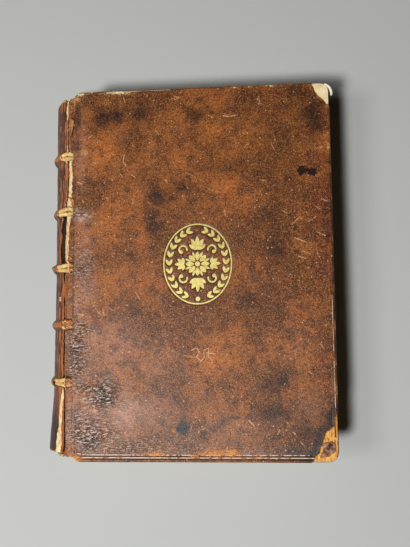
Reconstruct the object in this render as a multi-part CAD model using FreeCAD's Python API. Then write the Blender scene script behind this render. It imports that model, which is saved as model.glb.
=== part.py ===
"""An antique quarto in full calf, lying on its rear cover with the front cover up.

The text block is sewn on five raised double cords, whose slips are laced into pasteboard covers.
One calfskin once covered the whole book. Along the front joint it has split from head to tail, so
the front cover hangs on its cords alone, and at the tail the leather stands away from the back.

Frame: millimetres, origin at the middle of the rear cover's underside, +X to the fore edge,
+Y to the head of the book, +Z up through the pages to the front cover.
"""

import math
import os

import FreeCAD, Part
from FreeCAD import Vector

# Covers
COVER_WIDTH = 174.4
COVER_HEIGHT = 250.0
COVER_CORNER_RADIUS = 6.5
COVER_EDGE_ROUNDING = 1.1
BOARD_THICKNESS = 3.2
LEATHER_THICKNESS = 0.8
TURN_IN_THICKNESS = 0.6
TURN_IN_WIDTH = 15.0
PASTEDOWN_THICKNESS = 0.25
PASTEDOWN_MARGIN = 4.0
COVER_CLEARANCE = 0.15

# Text block
BLOCK_THICKNESS = 36.0
HEAD_SQUARE = 4.5
FORE_EDGE_SQUARE = 4.0
FORE_EDGE_HOLLOW = 5.5
SHOULDER_RISE = 1.2
SHOULDER_RUN = 3.0

# Spine and joints
JOINT_WIDTH = 6.0
SHOULDER_INSET = 1.5
SPINE_ROUNDING = 10.7
LINING_THICKNESS = 0.25
SPINE_LEATHER_THICKNESS = 1.0
CRACK_ANGLE = 53.0
LINING_ANGLE = 57.0
HEAD_LOSS = 4.8
TAIL_LOSS = 6.0
JOINT_GAP = 0.3
JOINT_DIP = 1.1
JOINT_END_LOSS = 3.0
JOINT_END_SLANT = 2.0

# Raised bands: two cords side by side under one ridge of leather
BAND_COUNT = 5
BAND_PITCH = 38.4
MIDDLE_BAND_Y = 3.6
CORD_DIAMETER = 2.3
CORD_SPACING = 2.4
CORD_SEAT_GAP = 0.05
BAND_SPREAD = 1.2

# Tail of the spine, where the leather stands away from the back
FLARE_START_BELOW_BAND = 6.5
FLARE_BACK = 4.2
FLARE_FRONT = 3.0

# Slips: the cord ends that are laced into the covers
SLIP_LENGTH = 13.0
SLIP_WIDTH = 6.2
SLIP_DEPTH = 1.5
SLIP_HOLE_DIAMETER = 3.4
SLIP_CORD_DIAMETER = 2.4
SLIP_CORD_SPACING = 2.6
SLIP_STRAP_THICKNESS = 0.9
SLIP_STRAP_ANGLE = 32.0
SLIP_NOTCH_CLEARANCE = 0.4

# Endbands
ENDBAND_DIAMETER = 2.2
ENDBAND_INSET = 1.4
ENDBAND_ANGLE = 47.0

# Blind tooled double fillet round each cover
FILLET_INSETS = (1.9, 3.8)
FILLET_WIDTH = 0.5
FILLET_DEPTH = 0.22

# Gilt oval on the front cover
STAMP_X = -2.3
STAMP_Y = 4.3
STAMP_HALF_WIDTH = 23.0
STAMP_HALF_HEIGHT = 27.0
STAMP_RING_WIDTH = 0.9
STAMP_DEPTH = 0.3
FOIL_THICKNESS = 0.15
WREATH_PAIRS = 11
WREATH_INSET = 4.1
WREATH_FOOT = 168.0
WREATH_TOP = 16.0
WREATH_LEAF_LENGTH = 4.7
WREATH_LEAF_WIDTH = 1.9
WREATH_LEAF_TILT = 26.0
WREATH_KNOT_RADIUS = 1.5
WREATH_KNOT_DROP = 0.4
ROSETTE_PETALS = 8
ROSETTE_HEART_RADIUS = 1.7
ROSETTE_BROAD_START = 2.2
ROSETTE_BROAD_LENGTH = 5.8
ROSETTE_BROAD_WIDTH = 3.1
ROSETTE_NARROW_START = 4.6
ROSETTE_NARROW_LENGTH = 4.2
ROSETTE_NARROW_WIDTH = 1.5
TALL_PALMETTE_START = 9.6
TALL_PALMETTE_LENGTHS = (9.2, 8.2, 6.4)
TALL_PALMETTE_SPREAD = 30.0
TALL_PALMETTE_WIDTH = 2.9
SIDE_PALMETTE_START = 9.2
SIDE_PALMETTE_LENGTHS = (6.2, 5.4, 4.2)
SIDE_PALMETTE_SPREAD = 40.0
SIDE_PALMETTE_WIDTH = 2.4
TENDRIL_OFFSET = 9.6
TENDRIL_RADIUS = 2.6
TENDRIL_WIDTH = 1.1
TENDRIL_SWEEP = 250.0
TENDRIL_FIRST = 20.0
TENDRIL_BUD = 1.1

# Leather lost at the two fore-edge corners of the front cover, measured from each corner
HEAD_CORNER_LOSS = ((-14.0, 2.0), (-12.6, -1.0), (-9.6, -7.6), (-5.6, -11.6), (-1.2, -15.6), (2.0, -17.2))
TAIL_CORNER_LOSS = ((2.0, 32.5), (-1.8, 29.0), (-2.6, 23.2), (-8.6, 18.4), (-10.6, 12.6), (-12.0, 8.4), (-15.6, 2.4),
                    (-20.0, -2.0))
LOSS_REACH = 6.0

# Derived sizes
COVER_THICKNESS = LEATHER_THICKNESS + BOARD_THICKNESS + TURN_IN_THICKNESS + PASTEDOWN_THICKNESS
BLOCK_BOTTOM = COVER_THICKNESS + COVER_CLEARANCE
BLOCK_TOP = BLOCK_BOTTOM + BLOCK_THICKNESS
BOOK_THICKNESS = BLOCK_TOP + COVER_CLEARANCE + COVER_THICKNESS
MIDDLE_Z = BOOK_THICKNESS / 2
BLOCK_END_Y = COVER_HEIGHT / 2 - HEAD_SQUARE
BLOCK_FORE_X = COVER_WIDTH / 2 - FORE_EDGE_SQUARE
SKIN_SPINE_X = -COVER_WIDTH / 2
BOARD_SPINE_X = SKIN_SPINE_X + LEATHER_THICKNESS
HINGE_X = SKIN_SPINE_X - JOINT_WIDTH
SHOULDER_X = HINGE_X + SHOULDER_INSET
SHOULDER_HALF = BLOCK_THICKNESS / 2 + SHOULDER_RISE
BACK_RADIUS = (SHOULDER_HALF**2 + SPINE_ROUNDING**2) / (2 * SPINE_ROUNDING)
SPINE_AXIS_X = SHOULDER_X - SPINE_ROUNDING + BACK_RADIUS
LEATHER_INNER_RADIUS = BACK_RADIUS + LINING_THICKNESS
LEATHER_OUTER_RADIUS = LEATHER_INNER_RADIUS + SPINE_LEATHER_THICKNESS
CORD_RADIUS = CORD_DIAMETER / 2
CORD_PATH_RADIUS = BACK_RADIUS + CORD_SEAT_GAP + CORD_RADIUS
CORD_HALF_WIDTH = CORD_SPACING / 2 + CORD_RADIUS
CORD_HOLLOW_RADIUS = CORD_PATH_RADIUS + CORD_RADIUS + CORD_SEAT_GAP
BAND_HALF_WIDTH = CORD_HALF_WIDTH + BAND_SPREAD
BAND_OUTER_RADIUS = CORD_HOLLOW_RADIUS + SPINE_LEATHER_THICKNESS
BAND_YS = [MIDDLE_BAND_Y + BAND_PITCH * ((BAND_COUNT - 1) / 2 - i) for i in range(BAND_COUNT)]
SPINE_HEAD_Y = COVER_HEIGHT / 2 - HEAD_LOSS
SPINE_TAIL_Y = -COVER_HEIGHT / 2 + TAIL_LOSS
FLARE_START_Y = BAND_YS[-1] - FLARE_START_BELOW_BAND
SPINE_LEATHER_END_X = HINGE_X - JOINT_GAP / 2
REAR_LEATHER_ANGLE = math.degrees(math.acos((SPINE_AXIS_X - SPINE_LEATHER_END_X) / LEATHER_OUTER_RADIUS))
STRIP_END_X = HINGE_X + JOINT_GAP / 2
STRIP_RUN = SKIN_SPINE_X - STRIP_END_X
STRIP_END_DEPTH = MIDDLE_Z - math.sqrt(LEATHER_OUTER_RADIUS**2 - (SPINE_AXIS_X - STRIP_END_X) ** 2)
STRIP_RISE = STRIP_END_DEPTH - JOINT_DIP
STRIP_RADIUS = (STRIP_RUN**2 + STRIP_RISE**2) / (2 * STRIP_RISE)
STRIP_SWEEP = math.degrees(math.asin(STRIP_RUN / STRIP_RADIUS))
WALL_TOP = JOINT_DIP + LEATHER_THICKNESS
BOARD_BOTTOM = LEATHER_THICKNESS
BOARD_TOP = BOARD_BOTTOM + BOARD_THICKNESS
TURN_IN_TOP = BOARD_TOP + TURN_IN_THICKNESS

UP = Vector(0, 0, 1)
HEADWARD = Vector(0, 1, 0)
SPINE_AXIS = Vector(SPINE_AXIS_X, 0, MIDDLE_Z)
PROUD = 1.0


def save(node, shape):
    """Writes one sub-part as parts/NODE.step."""
    shape.exportStep(os.path.join("parts", node + ".step"))


def box(low, high):
    """A box from its lowest to its highest corner."""
    size = [high[i] - low[i] for i in range(3)]
    return Part.makeBox(*size, Vector(*low))


def rounded_plate(left, right, half_height, radius, bottom, top):
    """A plate with four rounded corners, between two levels."""
    plate = box((left, -half_height, bottom), (right, half_height, top))
    corners = [e for e in plate.Edges if e.tangentAt(e.FirstParameter).isEqual(UP, 1e-6)
               or e.tangentAt(e.FirstParameter).isEqual(-UP, 1e-6)]
    return plate.makeFillet(radius, corners)


def polygon_prism(points, bottom, top):
    """A prism on a closed outline of straight runs."""
    corners = [Vector(x, y, bottom) for x, y in points]
    face = Part.Face(Part.makePolygon(corners + corners[:1]))
    return face.extrude(UP * (top - bottom))


def section_prism(edges, low_y, high_y):
    """A prism along Y on a closed section that is drawn at y = 0."""
    face = Part.Face(Part.Wire(edges))
    prism = face.extrude(HEADWARD * (high_y - low_y))
    prism.translate(HEADWARD * low_y)
    return prism


def line(a, b):
    return Part.LineSegment(a, b).toShape()


def arc(a, through, b):
    return Part.Arc(a, through, b).toShape()


def spine_point(radius, angle, y=0.0):
    """A point round the spine's axis. The angle is 0 at the back's middle, positive towards the front."""
    a = math.radians(angle)
    return Vector(SPINE_AXIS_X - radius * math.cos(a), y, MIDDLE_Z + radius * math.sin(a))


def spine_sector(inner, outer, rear_angle, front_angle, low_y, high_y):
    """A curved wall round the spine's axis, between two radii and two angles."""
    middle = (rear_angle + front_angle) / 2
    edges = [
        arc(spine_point(inner, rear_angle), spine_point(inner, middle), spine_point(inner, front_angle)),
        line(spine_point(inner, front_angle), spine_point(outer, front_angle)),
        arc(spine_point(outer, front_angle), spine_point(outer, middle), spine_point(outer, rear_angle)),
        line(spine_point(outer, rear_angle), spine_point(inner, rear_angle)),
    ]
    return section_prism(edges, low_y, high_y)


def turned_section(edges, rear_angle, front_angle):
    """A section drawn at the back's middle, turned round the spine's axis."""
    face = Part.Face(Part.Wire(edges))
    face.rotate(SPINE_AXIS, HEADWARD, rear_angle)
    return face.revolve(SPINE_AXIS, HEADWARD, front_angle - rear_angle)


def to_front(shape):
    """The same shape on the front cover, mirrored through the book's middle."""
    return shape.mirror(Vector(0, 0, MIDDLE_Z), UP)


def front_z(depth):
    """The level that lies this far below the front cover's outer face."""
    return BOOK_THICKNESS - depth


def make_text_block():
    """The sewn pages: rounded and backed at the spine, hollow at the fore edge."""
    half_shoulder = Vector(SHOULDER_X, 0, MIDDLE_Z - SHOULDER_HALF)
    front_shoulder = Vector(SHOULDER_X, 0, MIDDLE_Z + SHOULDER_HALF)
    low_turn = Vector(SHOULDER_X + SHOULDER_RUN, 0, BLOCK_BOTTOM)
    high_turn = Vector(SHOULDER_X + SHOULDER_RUN, 0, BLOCK_TOP)
    low_fore = Vector(BLOCK_FORE_X, 0, BLOCK_BOTTOM)
    high_fore = Vector(BLOCK_FORE_X, 0, BLOCK_TOP)
    hollow = Vector(BLOCK_FORE_X - FORE_EDGE_HOLLOW, 0, MIDDLE_Z)
    edges = [
        arc(half_shoulder, spine_point(BACK_RADIUS, 0), front_shoulder),
        line(front_shoulder, high_turn),
        line(high_turn, high_fore),
        arc(high_fore, hollow, low_fore),
        line(low_fore, low_turn),
        line(low_turn, half_shoulder),
    ]
    return section_prism(edges, -BLOCK_END_Y, BLOCK_END_Y)


def cord_limit():
    """The space in which the sewing cords stop short of the front and rear covers' own slips."""
    left = SPINE_AXIS_X - BAND_OUTER_RADIUS - PROUD
    return box((left, -COVER_HEIGHT, -PROUD), (SPINE_LEATHER_END_X, COVER_HEIGHT, BOOK_THICKNESS + PROUD))


def make_sewing_cord(y):
    """A double cord bent over the back of the sections."""
    cords = []
    for side in (-1, 1):
        centre = spine_point(CORD_PATH_RADIUS, 0, y + side * CORD_SPACING / 2)
        circle = Part.Circle(centre, UP, CORD_RADIUS).toShape()
        cord = turned_section([circle], -REAR_LEATHER_ANGLE, LINING_ANGLE)
        cords.append(cord.common(cord_limit()))
    return Part.makeCompound([s for c in cords for s in c.Solids])


def make_spine_lining(high_y, low_y):
    """A panel of waste paper pasted on the back between two bands."""
    return spine_sector(BACK_RADIUS, LEATHER_INNER_RADIUS, -LINING_ANGLE, LINING_ANGLE, low_y, high_y)


def lining_panels():
    """The upper and lower end of each panel between the bands, from head to tail."""
    uppers = [BLOCK_END_Y] + [y - CORD_HALF_WIDTH - CORD_SEAT_GAP for y in BAND_YS]
    lowers = [y + CORD_HALF_WIDTH + CORD_SEAT_GAP for y in BAND_YS] + [-BLOCK_END_Y]
    return list(zip(uppers, lowers))


def make_band_ridge(y):
    """The ridge of leather that is moulded over a double cord."""
    left = spine_point(LEATHER_OUTER_RADIUS, 0, y - BAND_HALF_WIDTH)
    top = spine_point(BAND_OUTER_RADIUS, 0, y)
    right = spine_point(LEATHER_OUTER_RADIUS, 0, y + BAND_HALF_WIDTH)
    inner_left = spine_point(LEATHER_INNER_RADIUS, 0, y - BAND_HALF_WIDTH)
    inner_right = spine_point(LEATHER_INNER_RADIUS, 0, y + BAND_HALF_WIDTH)
    edges = [
        arc(left, top, right),
        line(right, inner_right),
        line(inner_right, inner_left),
        line(inner_left, left),
    ]
    return turned_section(edges, -REAR_LEATHER_ANGLE, CRACK_ANGLE)


def make_cord_hollow(y):
    """The space that a double cord takes up under its ridge of leather."""
    half = CORD_HALF_WIDTH + CORD_SEAT_GAP
    flank = CORD_PATH_RADIUS
    bend = math.sqrt(0.5)
    corner = CORD_RADIUS + CORD_SEAT_GAP
    shelf = half - corner
    points = [
        spine_point(BACK_RADIUS - PROUD, 0, y - half),
        spine_point(flank, 0, y - half),
        spine_point(flank + corner * bend, 0, y - shelf - corner * bend),
        spine_point(CORD_HOLLOW_RADIUS, 0, y - shelf),
        spine_point(CORD_HOLLOW_RADIUS, 0, y + shelf),
        spine_point(flank + corner * bend, 0, y + shelf + corner * bend),
        spine_point(flank, 0, y + half),
        spine_point(BACK_RADIUS - PROUD, 0, y + half),
    ]
    edges = [
        line(points[0], points[1]),
        arc(points[1], points[2], points[3]),
        line(points[3], points[4]),
        arc(points[4], points[5], points[6]),
        line(points[6], points[7]),
        line(points[7], points[0]),
    ]
    return turned_section(edges, -REAR_LEATHER_ANGLE - 5, CRACK_ANGLE + 5)


def flare_section(y, back_shift, front_shift):
    """The spine leather's section at one height, drawn away from the back by the given amounts."""
    outward = Vector(-1, 0, 0)
    front_outward = spine_point(1, CRACK_ANGLE) - spine_point(0, CRACK_ANGLE)

    def curve(radius):
        rear = spine_point(radius, -REAR_LEATHER_ANGLE, y)
        back = spine_point(radius, 0, y) + outward * back_shift
        front = spine_point(radius, CRACK_ANGLE, y) + front_outward * front_shift
        return rear, back, front

    inner = curve(LEATHER_INNER_RADIUS)
    outer = curve(LEATHER_OUTER_RADIUS)
    return Part.Wire([
        arc(*inner),
        line(inner[2], outer[2]),
        arc(outer[2], outer[1], outer[0]),
        line(outer[0], inner[0]),
    ])


def make_spine_leather():
    """The calf over the back and its bands, from the split front joint to the rear joint."""
    back = spine_sector(LEATHER_INNER_RADIUS, LEATHER_OUTER_RADIUS, -REAR_LEATHER_ANGLE, CRACK_ANGLE,
                        FLARE_START_Y, SPINE_HEAD_Y)
    flare = Part.makeLoft([flare_section(FLARE_START_Y, 0, 0),
                           flare_section(SPINE_TAIL_Y, FLARE_BACK, FLARE_FRONT)], True, True)
    leather = back.fuse([flare] + [make_band_ridge(y) for y in BAND_YS])
    for y in BAND_YS:
        leather = leather.cut(make_cord_hollow(y))
    return leather.removeSplitter()


def make_endband(end_y):
    """A roll sewn along the end of the back, at the head or at the tail."""
    inward = -1 if end_y > 0 else 1
    centre_y = end_y - inward * (ENDBAND_DIAMETER / 2 + CORD_SEAT_GAP)
    centre = spine_point(BACK_RADIUS - ENDBAND_INSET, 0, centre_y)
    circle = Part.Circle(centre, UP, ENDBAND_DIAMETER / 2).toShape()
    return turned_section([circle], -ENDBAND_ANGLE, ENDBAND_ANGLE)


def make_board(front):
    """A pasteboard with its corners rounded, a channel and a hole for each slip."""
    board = rounded_plate(BOARD_SPINE_X, COVER_WIDTH / 2 - LEATHER_THICKNESS,
                          COVER_HEIGHT / 2 - LEATHER_THICKNESS,
                          COVER_CORNER_RADIUS - LEATHER_THICKNESS, BOARD_BOTTOM, BOARD_TOP)
    for y in BAND_YS:
        board = board.cut(slip_in_board(y, PROUD))
    return to_front(board) if front else board


def slip_in_board(y, reach):
    """The channel and hole that a slip fills, reaching past the board's spine edge if asked."""
    channel = box((BOARD_SPINE_X - reach, y - SLIP_WIDTH / 2, BOARD_BOTTOM),
                  (BOARD_SPINE_X + SLIP_LENGTH, y + SLIP_WIDTH / 2, BOARD_BOTTOM + SLIP_DEPTH))
    hole_x = BOARD_SPINE_X + SLIP_LENGTH - SLIP_HOLE_DIAMETER
    hole = Part.makeCylinder(SLIP_HOLE_DIAMETER / 2, BOARD_THICKNESS, Vector(hole_x, y, BOARD_BOTTOM))
    return channel.fuse(hole).removeSplitter()


def slip_cords(y, extra):
    """The two bare cords of a front slip where they cross the split joint, with room round them if asked."""
    cords = []
    length = BOARD_SPINE_X - STRIP_END_X - JOINT_GAP / 2
    for side in (-1, 1):
        start = Vector(STRIP_END_X + JOINT_GAP / 2 - extra, y + side * SLIP_CORD_SPACING / 2,
                       BOARD_BOTTOM + SLIP_CORD_DIAMETER / 2)
        cords.append(Part.makeCylinder(SLIP_CORD_DIAMETER / 2 + extra, length + 2 * extra, start,
                                       Vector(1, 0, 0)))
    return cords


def make_front_slip(y):
    """A front slip: bare cords over the joint, flattened in the channel and laced through the hole."""
    inside = slip_in_board(y, 0)
    slip = inside.fuse(slip_cords(y, 0)).removeSplitter()
    return to_front(slip)


def strip_sector(inner_depth, outer_depth, sweep, low_y, high_y):
    """A curved wall beside the cover's spine edge, at two depths under the joint's leather."""
    centre = Vector(SKIN_SPINE_X, 0, JOINT_DIP + STRIP_RADIUS)

    def point(depth, angle):
        a = math.radians(angle)
        reach = STRIP_RADIUS - depth
        return centre + Vector(-reach * math.sin(a), 0, -reach * math.cos(a))

    edges = [
        arc(point(outer_depth, 0), point(outer_depth, sweep / 2), point(outer_depth, sweep)),
        line(point(outer_depth, sweep), point(inner_depth, sweep)),
        arc(point(inner_depth, sweep), point(inner_depth, sweep / 2), point(inner_depth, 0)),
        line(point(inner_depth, 0), point(outer_depth, 0)),
    ]
    return section_prism(edges, low_y, high_y)


def make_rear_slip(y):
    """A rear slip: a flattened strap under the joint's leather, laced into the board."""
    low_y, high_y = y - SLIP_WIDTH / 2, y + SLIP_WIDTH / 2
    strap = strip_sector(LEATHER_THICKNESS + SLIP_STRAP_THICKNESS, LEATHER_THICKNESS, SLIP_STRAP_ANGLE,
                         low_y, high_y)
    entry = box((SKIN_SPINE_X, low_y, WALL_TOP), (BOARD_SPINE_X, high_y, WALL_TOP + SLIP_STRAP_THICKNESS))
    return slip_in_board(y, 0).fuse([strap, entry]).removeSplitter()


def joint_strip():
    """The cover's leather where it crosses the joint, with its ends cut back slantwise."""
    half = COVER_HEIGHT / 2 - JOINT_END_LOSS
    strip = strip_sector(LEATHER_THICKNESS, 0, STRIP_SWEEP, -half, half)
    for side in (-1, 1):
        slant = [(SKIN_SPINE_X, side * half), (HINGE_X, side * (half - JOINT_END_SLANT)),
                 (HINGE_X, side * (half + PROUD)), (SKIN_SPINE_X, side * (half + PROUD))]
        strip = strip.cut(polygon_prism(slant, -PROUD, COVER_THICKNESS + PROUD))
    return strip


def fillet_line(inset):
    """One blind tooled line round a cover, as the groove that it presses."""
    outer = rounded_plate(SKIN_SPINE_X + inset, COVER_WIDTH / 2 - inset, COVER_HEIGHT / 2 - inset,
                          COVER_CORNER_RADIUS, -PROUD, FILLET_DEPTH)
    inner = rounded_plate(SKIN_SPINE_X + inset + FILLET_WIDTH, COVER_WIDTH / 2 - inset - FILLET_WIDTH,
                          COVER_HEIGHT / 2 - inset - FILLET_WIDTH,
                          COVER_CORNER_RADIUS - FILLET_WIDTH, -PROUD, FILLET_DEPTH)
    return outer.cut(inner)


def make_cover_leather():
    """Calf over the outside of a board, turned in over three of its edges and left flat at the joint."""
    half = COVER_HEIGHT / 2
    skin = rounded_plate(SKIN_SPINE_X, COVER_WIDTH / 2, half, COVER_CORNER_RADIUS, 0, TURN_IN_TOP)
    rim = [e for e in skin.Edges if e.BoundBox.ZMax < 1e-6]
    skin = skin.makeFillet(COVER_EDGE_ROUNDING, rim)
    board = rounded_plate(BOARD_SPINE_X, COVER_WIDTH / 2 - LEATHER_THICKNESS, half - LEATHER_THICKNESS,
                          COVER_CORNER_RADIUS - LEATHER_THICKNESS, BOARD_BOTTOM, BOARD_TOP)
    window = box((BOARD_SPINE_X - PROUD, -half + TURN_IN_WIDTH, BOARD_TOP - PROUD / 2),
                 (COVER_WIDTH / 2 - TURN_IN_WIDTH, half - TURN_IN_WIDTH, TURN_IN_TOP + PROUD))
    beside_shoulder = box((SKIN_SPINE_X - PROUD, -half, WALL_TOP), (BOARD_SPINE_X, half, TURN_IN_TOP + PROUD))
    skin = skin.cut([board, window, beside_shoulder])
    skin = skin.fuse(joint_strip())
    skin = skin.cut([fillet_line(inset) for inset in FILLET_INSETS])
    return skin.removeSplitter()


def make_pastedown(front):
    """The endpaper pasted inside a cover: it lies on the turn-ins and dips onto the bare board."""
    half = COVER_HEIGHT / 2 - PASTEDOWN_MARGIN
    sheet = box((BOARD_SPINE_X, -half, TURN_IN_TOP), (COVER_WIDTH / 2 - PASTEDOWN_MARGIN, half, COVER_THICKNESS))
    window_half = COVER_HEIGHT / 2 - TURN_IN_WIDTH
    window_x = COVER_WIDTH / 2 - TURN_IN_WIDTH
    dip = box((BOARD_SPINE_X, -window_half, BOARD_TOP), (window_x, window_half, COVER_THICKNESS))
    wall = PASTEDOWN_THICKNESS
    hollow = box((BOARD_SPINE_X - PROUD, -window_half + wall, BOARD_TOP + wall),
                 (window_x - wall, window_half - wall, COVER_THICKNESS + PROUD))
    paper = sheet.fuse(dip).cut(hollow).removeSplitter()
    return to_front(paper) if front else paper


def loss_prism(points, corner_y):
    """The region where a corner of the front cover has lost its leather, down to the turn-ins."""
    corner = [(COVER_WIDTH / 2 + x, corner_y + y) for x, y in points]
    side = 1 if corner_y > 0 else -1
    far = [(COVER_WIDTH / 2 + LOSS_REACH, corner[-1][1] if side > 0 else corner_y - LOSS_REACH),
           (COVER_WIDTH / 2 + LOSS_REACH, corner_y + LOSS_REACH if side > 0 else corner[0][1])]
    if side > 0:
        outline = corner + far + [(corner[0][0], corner_y + LOSS_REACH)]
    else:
        outline = corner + [(corner[-1][0], corner_y - LOSS_REACH)] + far
    return polygon_prism(outline, front_z(BOARD_TOP), front_z(-PROUD))


def ray(distance, angle):
    """The point at a distance from the stamp's centre, at an angle from straight up."""
    a = math.radians(angle)
    return distance * math.sin(a), distance * math.cos(a)


def leaf(base, angle, length, width):
    """A pointed leaf that grows from its base at an angle, in degrees from straight up."""
    a = math.radians(angle)
    along = Vector(math.sin(a), math.cos(a), 0)
    across = Vector(math.cos(a), -math.sin(a), 0)
    start = Vector(base[0], base[1], 0)
    tip = start + along * length
    middle = start + along * (length / 2)
    edges = [arc(start, middle + across * (width / 2), tip), arc(tip, middle - across * (width / 2), start)]
    return Part.Face(Part.Wire(edges))


def disc(centre, radius):
    return Part.Face(Part.Wire([Part.Circle(Vector(*centre, 0), UP, radius).toShape()]))


def hoop(outer_x, outer_y, width):
    """A flat oval ring."""
    def oval(x, y):
        ellipse = Part.Ellipse(Vector(0, 0, 0), max(x, y), min(x, y)).toShape()
        if y > x:
            ellipse.rotate(Vector(0, 0, 0), UP, 90)
        return Part.Face(Part.Wire([ellipse]))
    return oval(outer_x, outer_y).cut(oval(outer_x - width, outer_y - width))


def tendril(centre, radius, width, start, sweep):
    """A curled line of even width, closed by a round bud."""
    def at(r, degrees):
        a = math.radians(degrees)
        return Vector(centre[0] + r * math.cos(a), centre[1] + r * math.sin(a), 0)
    outer, inner = radius + width / 2, radius - width / 2
    end, half = start + sweep, start + sweep / 2
    edges = [
        arc(at(outer, start), at(outer, half), at(outer, end)),
        line(at(outer, end), at(inner, end)),
        arc(at(inner, end), at(inner, half), at(inner, start)),
        line(at(inner, start), at(outer, start)),
    ]
    bud = at(radius - width / 2, end)
    return [Part.Face(Part.Wire(edges)), disc((bud.x, bud.y), width * TENDRIL_BUD)]


def wreath_faces():
    """Two laurel branches that rise from a knot at the foot, inside the ring."""
    half_x = STAMP_HALF_WIDTH - WREATH_INSET
    half_y = STAMP_HALF_HEIGHT - WREATH_INSET
    faces = [disc((0, -half_y - WREATH_KNOT_DROP), WREATH_KNOT_RADIUS)]
    for i in range(WREATH_PAIRS):
        turn = WREATH_TOP + (WREATH_FOOT - WREATH_TOP) * (i + 0.5) / WREATH_PAIRS
        t = math.radians(turn)
        heading = math.degrees(math.atan2(-half_x * math.cos(t), half_y * math.sin(t)))
        for side in (-1, 1):
            foot = (side * half_x * math.sin(t), half_y * math.cos(t))
            for tilt in (-WREATH_LEAF_TILT, WREATH_LEAF_TILT):
                faces.append(leaf(foot, side * (heading + tilt), WREATH_LEAF_LENGTH, WREATH_LEAF_WIDTH))
    return faces


def rosette_faces():
    """A flower of broad and narrow petals at the stamp's centre."""
    faces = [disc((0, 0), ROSETTE_HEART_RADIUS)]
    for i in range(ROSETTE_PETALS):
        angle = 360 * i / ROSETTE_PETALS
        foot = ray(ROSETTE_BROAD_START, angle)
        faces.append(leaf(foot, angle, ROSETTE_BROAD_LENGTH, ROSETTE_BROAD_WIDTH))
        between = angle + 180 / ROSETTE_PETALS
        foot = ray(ROSETTE_NARROW_START, between)
        faces.append(leaf(foot, between, ROSETTE_NARROW_LENGTH, ROSETTE_NARROW_WIDTH))
    return faces


def palmette_faces(base, heading, lengths, spread, width):
    """A fan of leaves from one foot."""
    faces = [leaf(base, heading, lengths[0], width)]
    for i, length in enumerate(lengths[1:], 1):
        for side in (-1, 1):
            faces.append(leaf(base, heading + side * spread * i, length, width))
    return faces


def stamp_faces():
    """Every flat shape of the gilt ornament, round the stamp's own centre."""
    faces = [hoop(STAMP_HALF_WIDTH, STAMP_HALF_HEIGHT, STAMP_RING_WIDTH)]
    faces += wreath_faces()
    faces += rosette_faces()
    for heading in (0, 180):
        faces += palmette_faces(ray(TALL_PALMETTE_START, heading), heading, TALL_PALMETTE_LENGTHS,
                                TALL_PALMETTE_SPREAD, TALL_PALMETTE_WIDTH)
    for heading in (90, 270):
        faces += palmette_faces(ray(SIDE_PALMETTE_START, heading), heading, SIDE_PALMETTE_LENGTHS,
                                SIDE_PALMETTE_SPREAD, SIDE_PALMETTE_WIDTH)
    for x_side in (-1, 1):
        first = -TENDRIL_FIRST if x_side < 0 else 180 + TENDRIL_FIRST
        for y_side in (-1, 1):
            faces += tendril((x_side * TENDRIL_OFFSET, y_side * TENDRIL_OFFSET), TENDRIL_RADIUS, TENDRIL_WIDTH,
                             y_side * first, -x_side * y_side * TENDRIL_SWEEP)
    return faces


def make_stamp(top, thickness):
    """The gilt ornament as a thin solid whose upper face lies at the given level."""
    solids = [face.extrude(UP * thickness) for face in stamp_faces()]
    whole = solids[0].fuse(solids[1:]).removeSplitter()
    whole.translate(Vector(STAMP_X, STAMP_Y, top - thickness))
    return whole


def make_front_leather():
    """The front cover's leather, with its notches at the bands, lost corners and stamped oval."""
    leather = to_front(make_cover_leather())
    notches = [to_front(c) for y in BAND_YS for c in slip_cords(y, SLIP_NOTCH_CLEARANCE)]
    for y in BAND_YS:
        half = SLIP_CORD_SPACING / 2 + SLIP_CORD_DIAMETER / 2 + SLIP_NOTCH_CLEARANCE
        notches.append(box((HINGE_X - PROUD, y - half, front_z(STRIP_RADIUS)),
                           (BOARD_SPINE_X, y + half, front_z(-PROUD))))
    leather = leather.cut(notches)
    leather = leather.cut([loss_prism(HEAD_CORNER_LOSS, COVER_HEIGHT / 2),
                           loss_prism(TAIL_CORNER_LOSS, -COVER_HEIGHT / 2)])
    reach_x, reach_y = STAMP_HALF_WIDTH + PROUD, STAMP_HALF_HEIGHT + PROUD
    patch = box((STAMP_X - reach_x, STAMP_Y - reach_y, front_z(LEATHER_THICKNESS)),
                (STAMP_X + reach_x, STAMP_Y + reach_y, front_z(0)))
    stamped = patch.cut(make_stamp(front_z(-PROUD), STAMP_DEPTH + PROUD))
    return leather.cut(patch).fuse(stamped).removeSplitter()


def main():
    os.makedirs("parts", exist_ok=True)
    save("text_block", make_text_block())
    save("spine_leather", make_spine_leather())
    for number, (high_y, low_y) in enumerate(lining_panels(), 1):
        save(f"spine_lining_{number}", make_spine_lining(high_y, low_y))
    for number, y in enumerate(BAND_YS, 1):
        save(f"sewing_cord_{number}", make_sewing_cord(y))
        save(f"front_slip_{number}", make_front_slip(y))
        save(f"rear_slip_{number}", make_rear_slip(y))
    save("headband", make_endband(BLOCK_END_Y))
    save("tailband", make_endband(-BLOCK_END_Y))
    save("front_board", make_board(True))
    save("front_leather", make_front_leather())
    save("front_pastedown", make_pastedown(True))
    save("gilt_oval", make_stamp(front_z(STAMP_DEPTH - FOIL_THICKNESS), FOIL_THICKNESS))
    save("rear_board", make_board(False))
    save("rear_leather", make_cover_leather())
    save("rear_pastedown", make_pastedown(False))


main()
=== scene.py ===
"""The looks of the antique calf-bound book: torn and stained leather, bare cords, pages and gold.

Lengths are in millimetres until a mesh is made. A cover's own depth runs inward from its outer face.
"""

import math

import bpy
import numpy as np
from mathutils import Matrix, Vector
from mathutils.bvhtree import BVHTree


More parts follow.
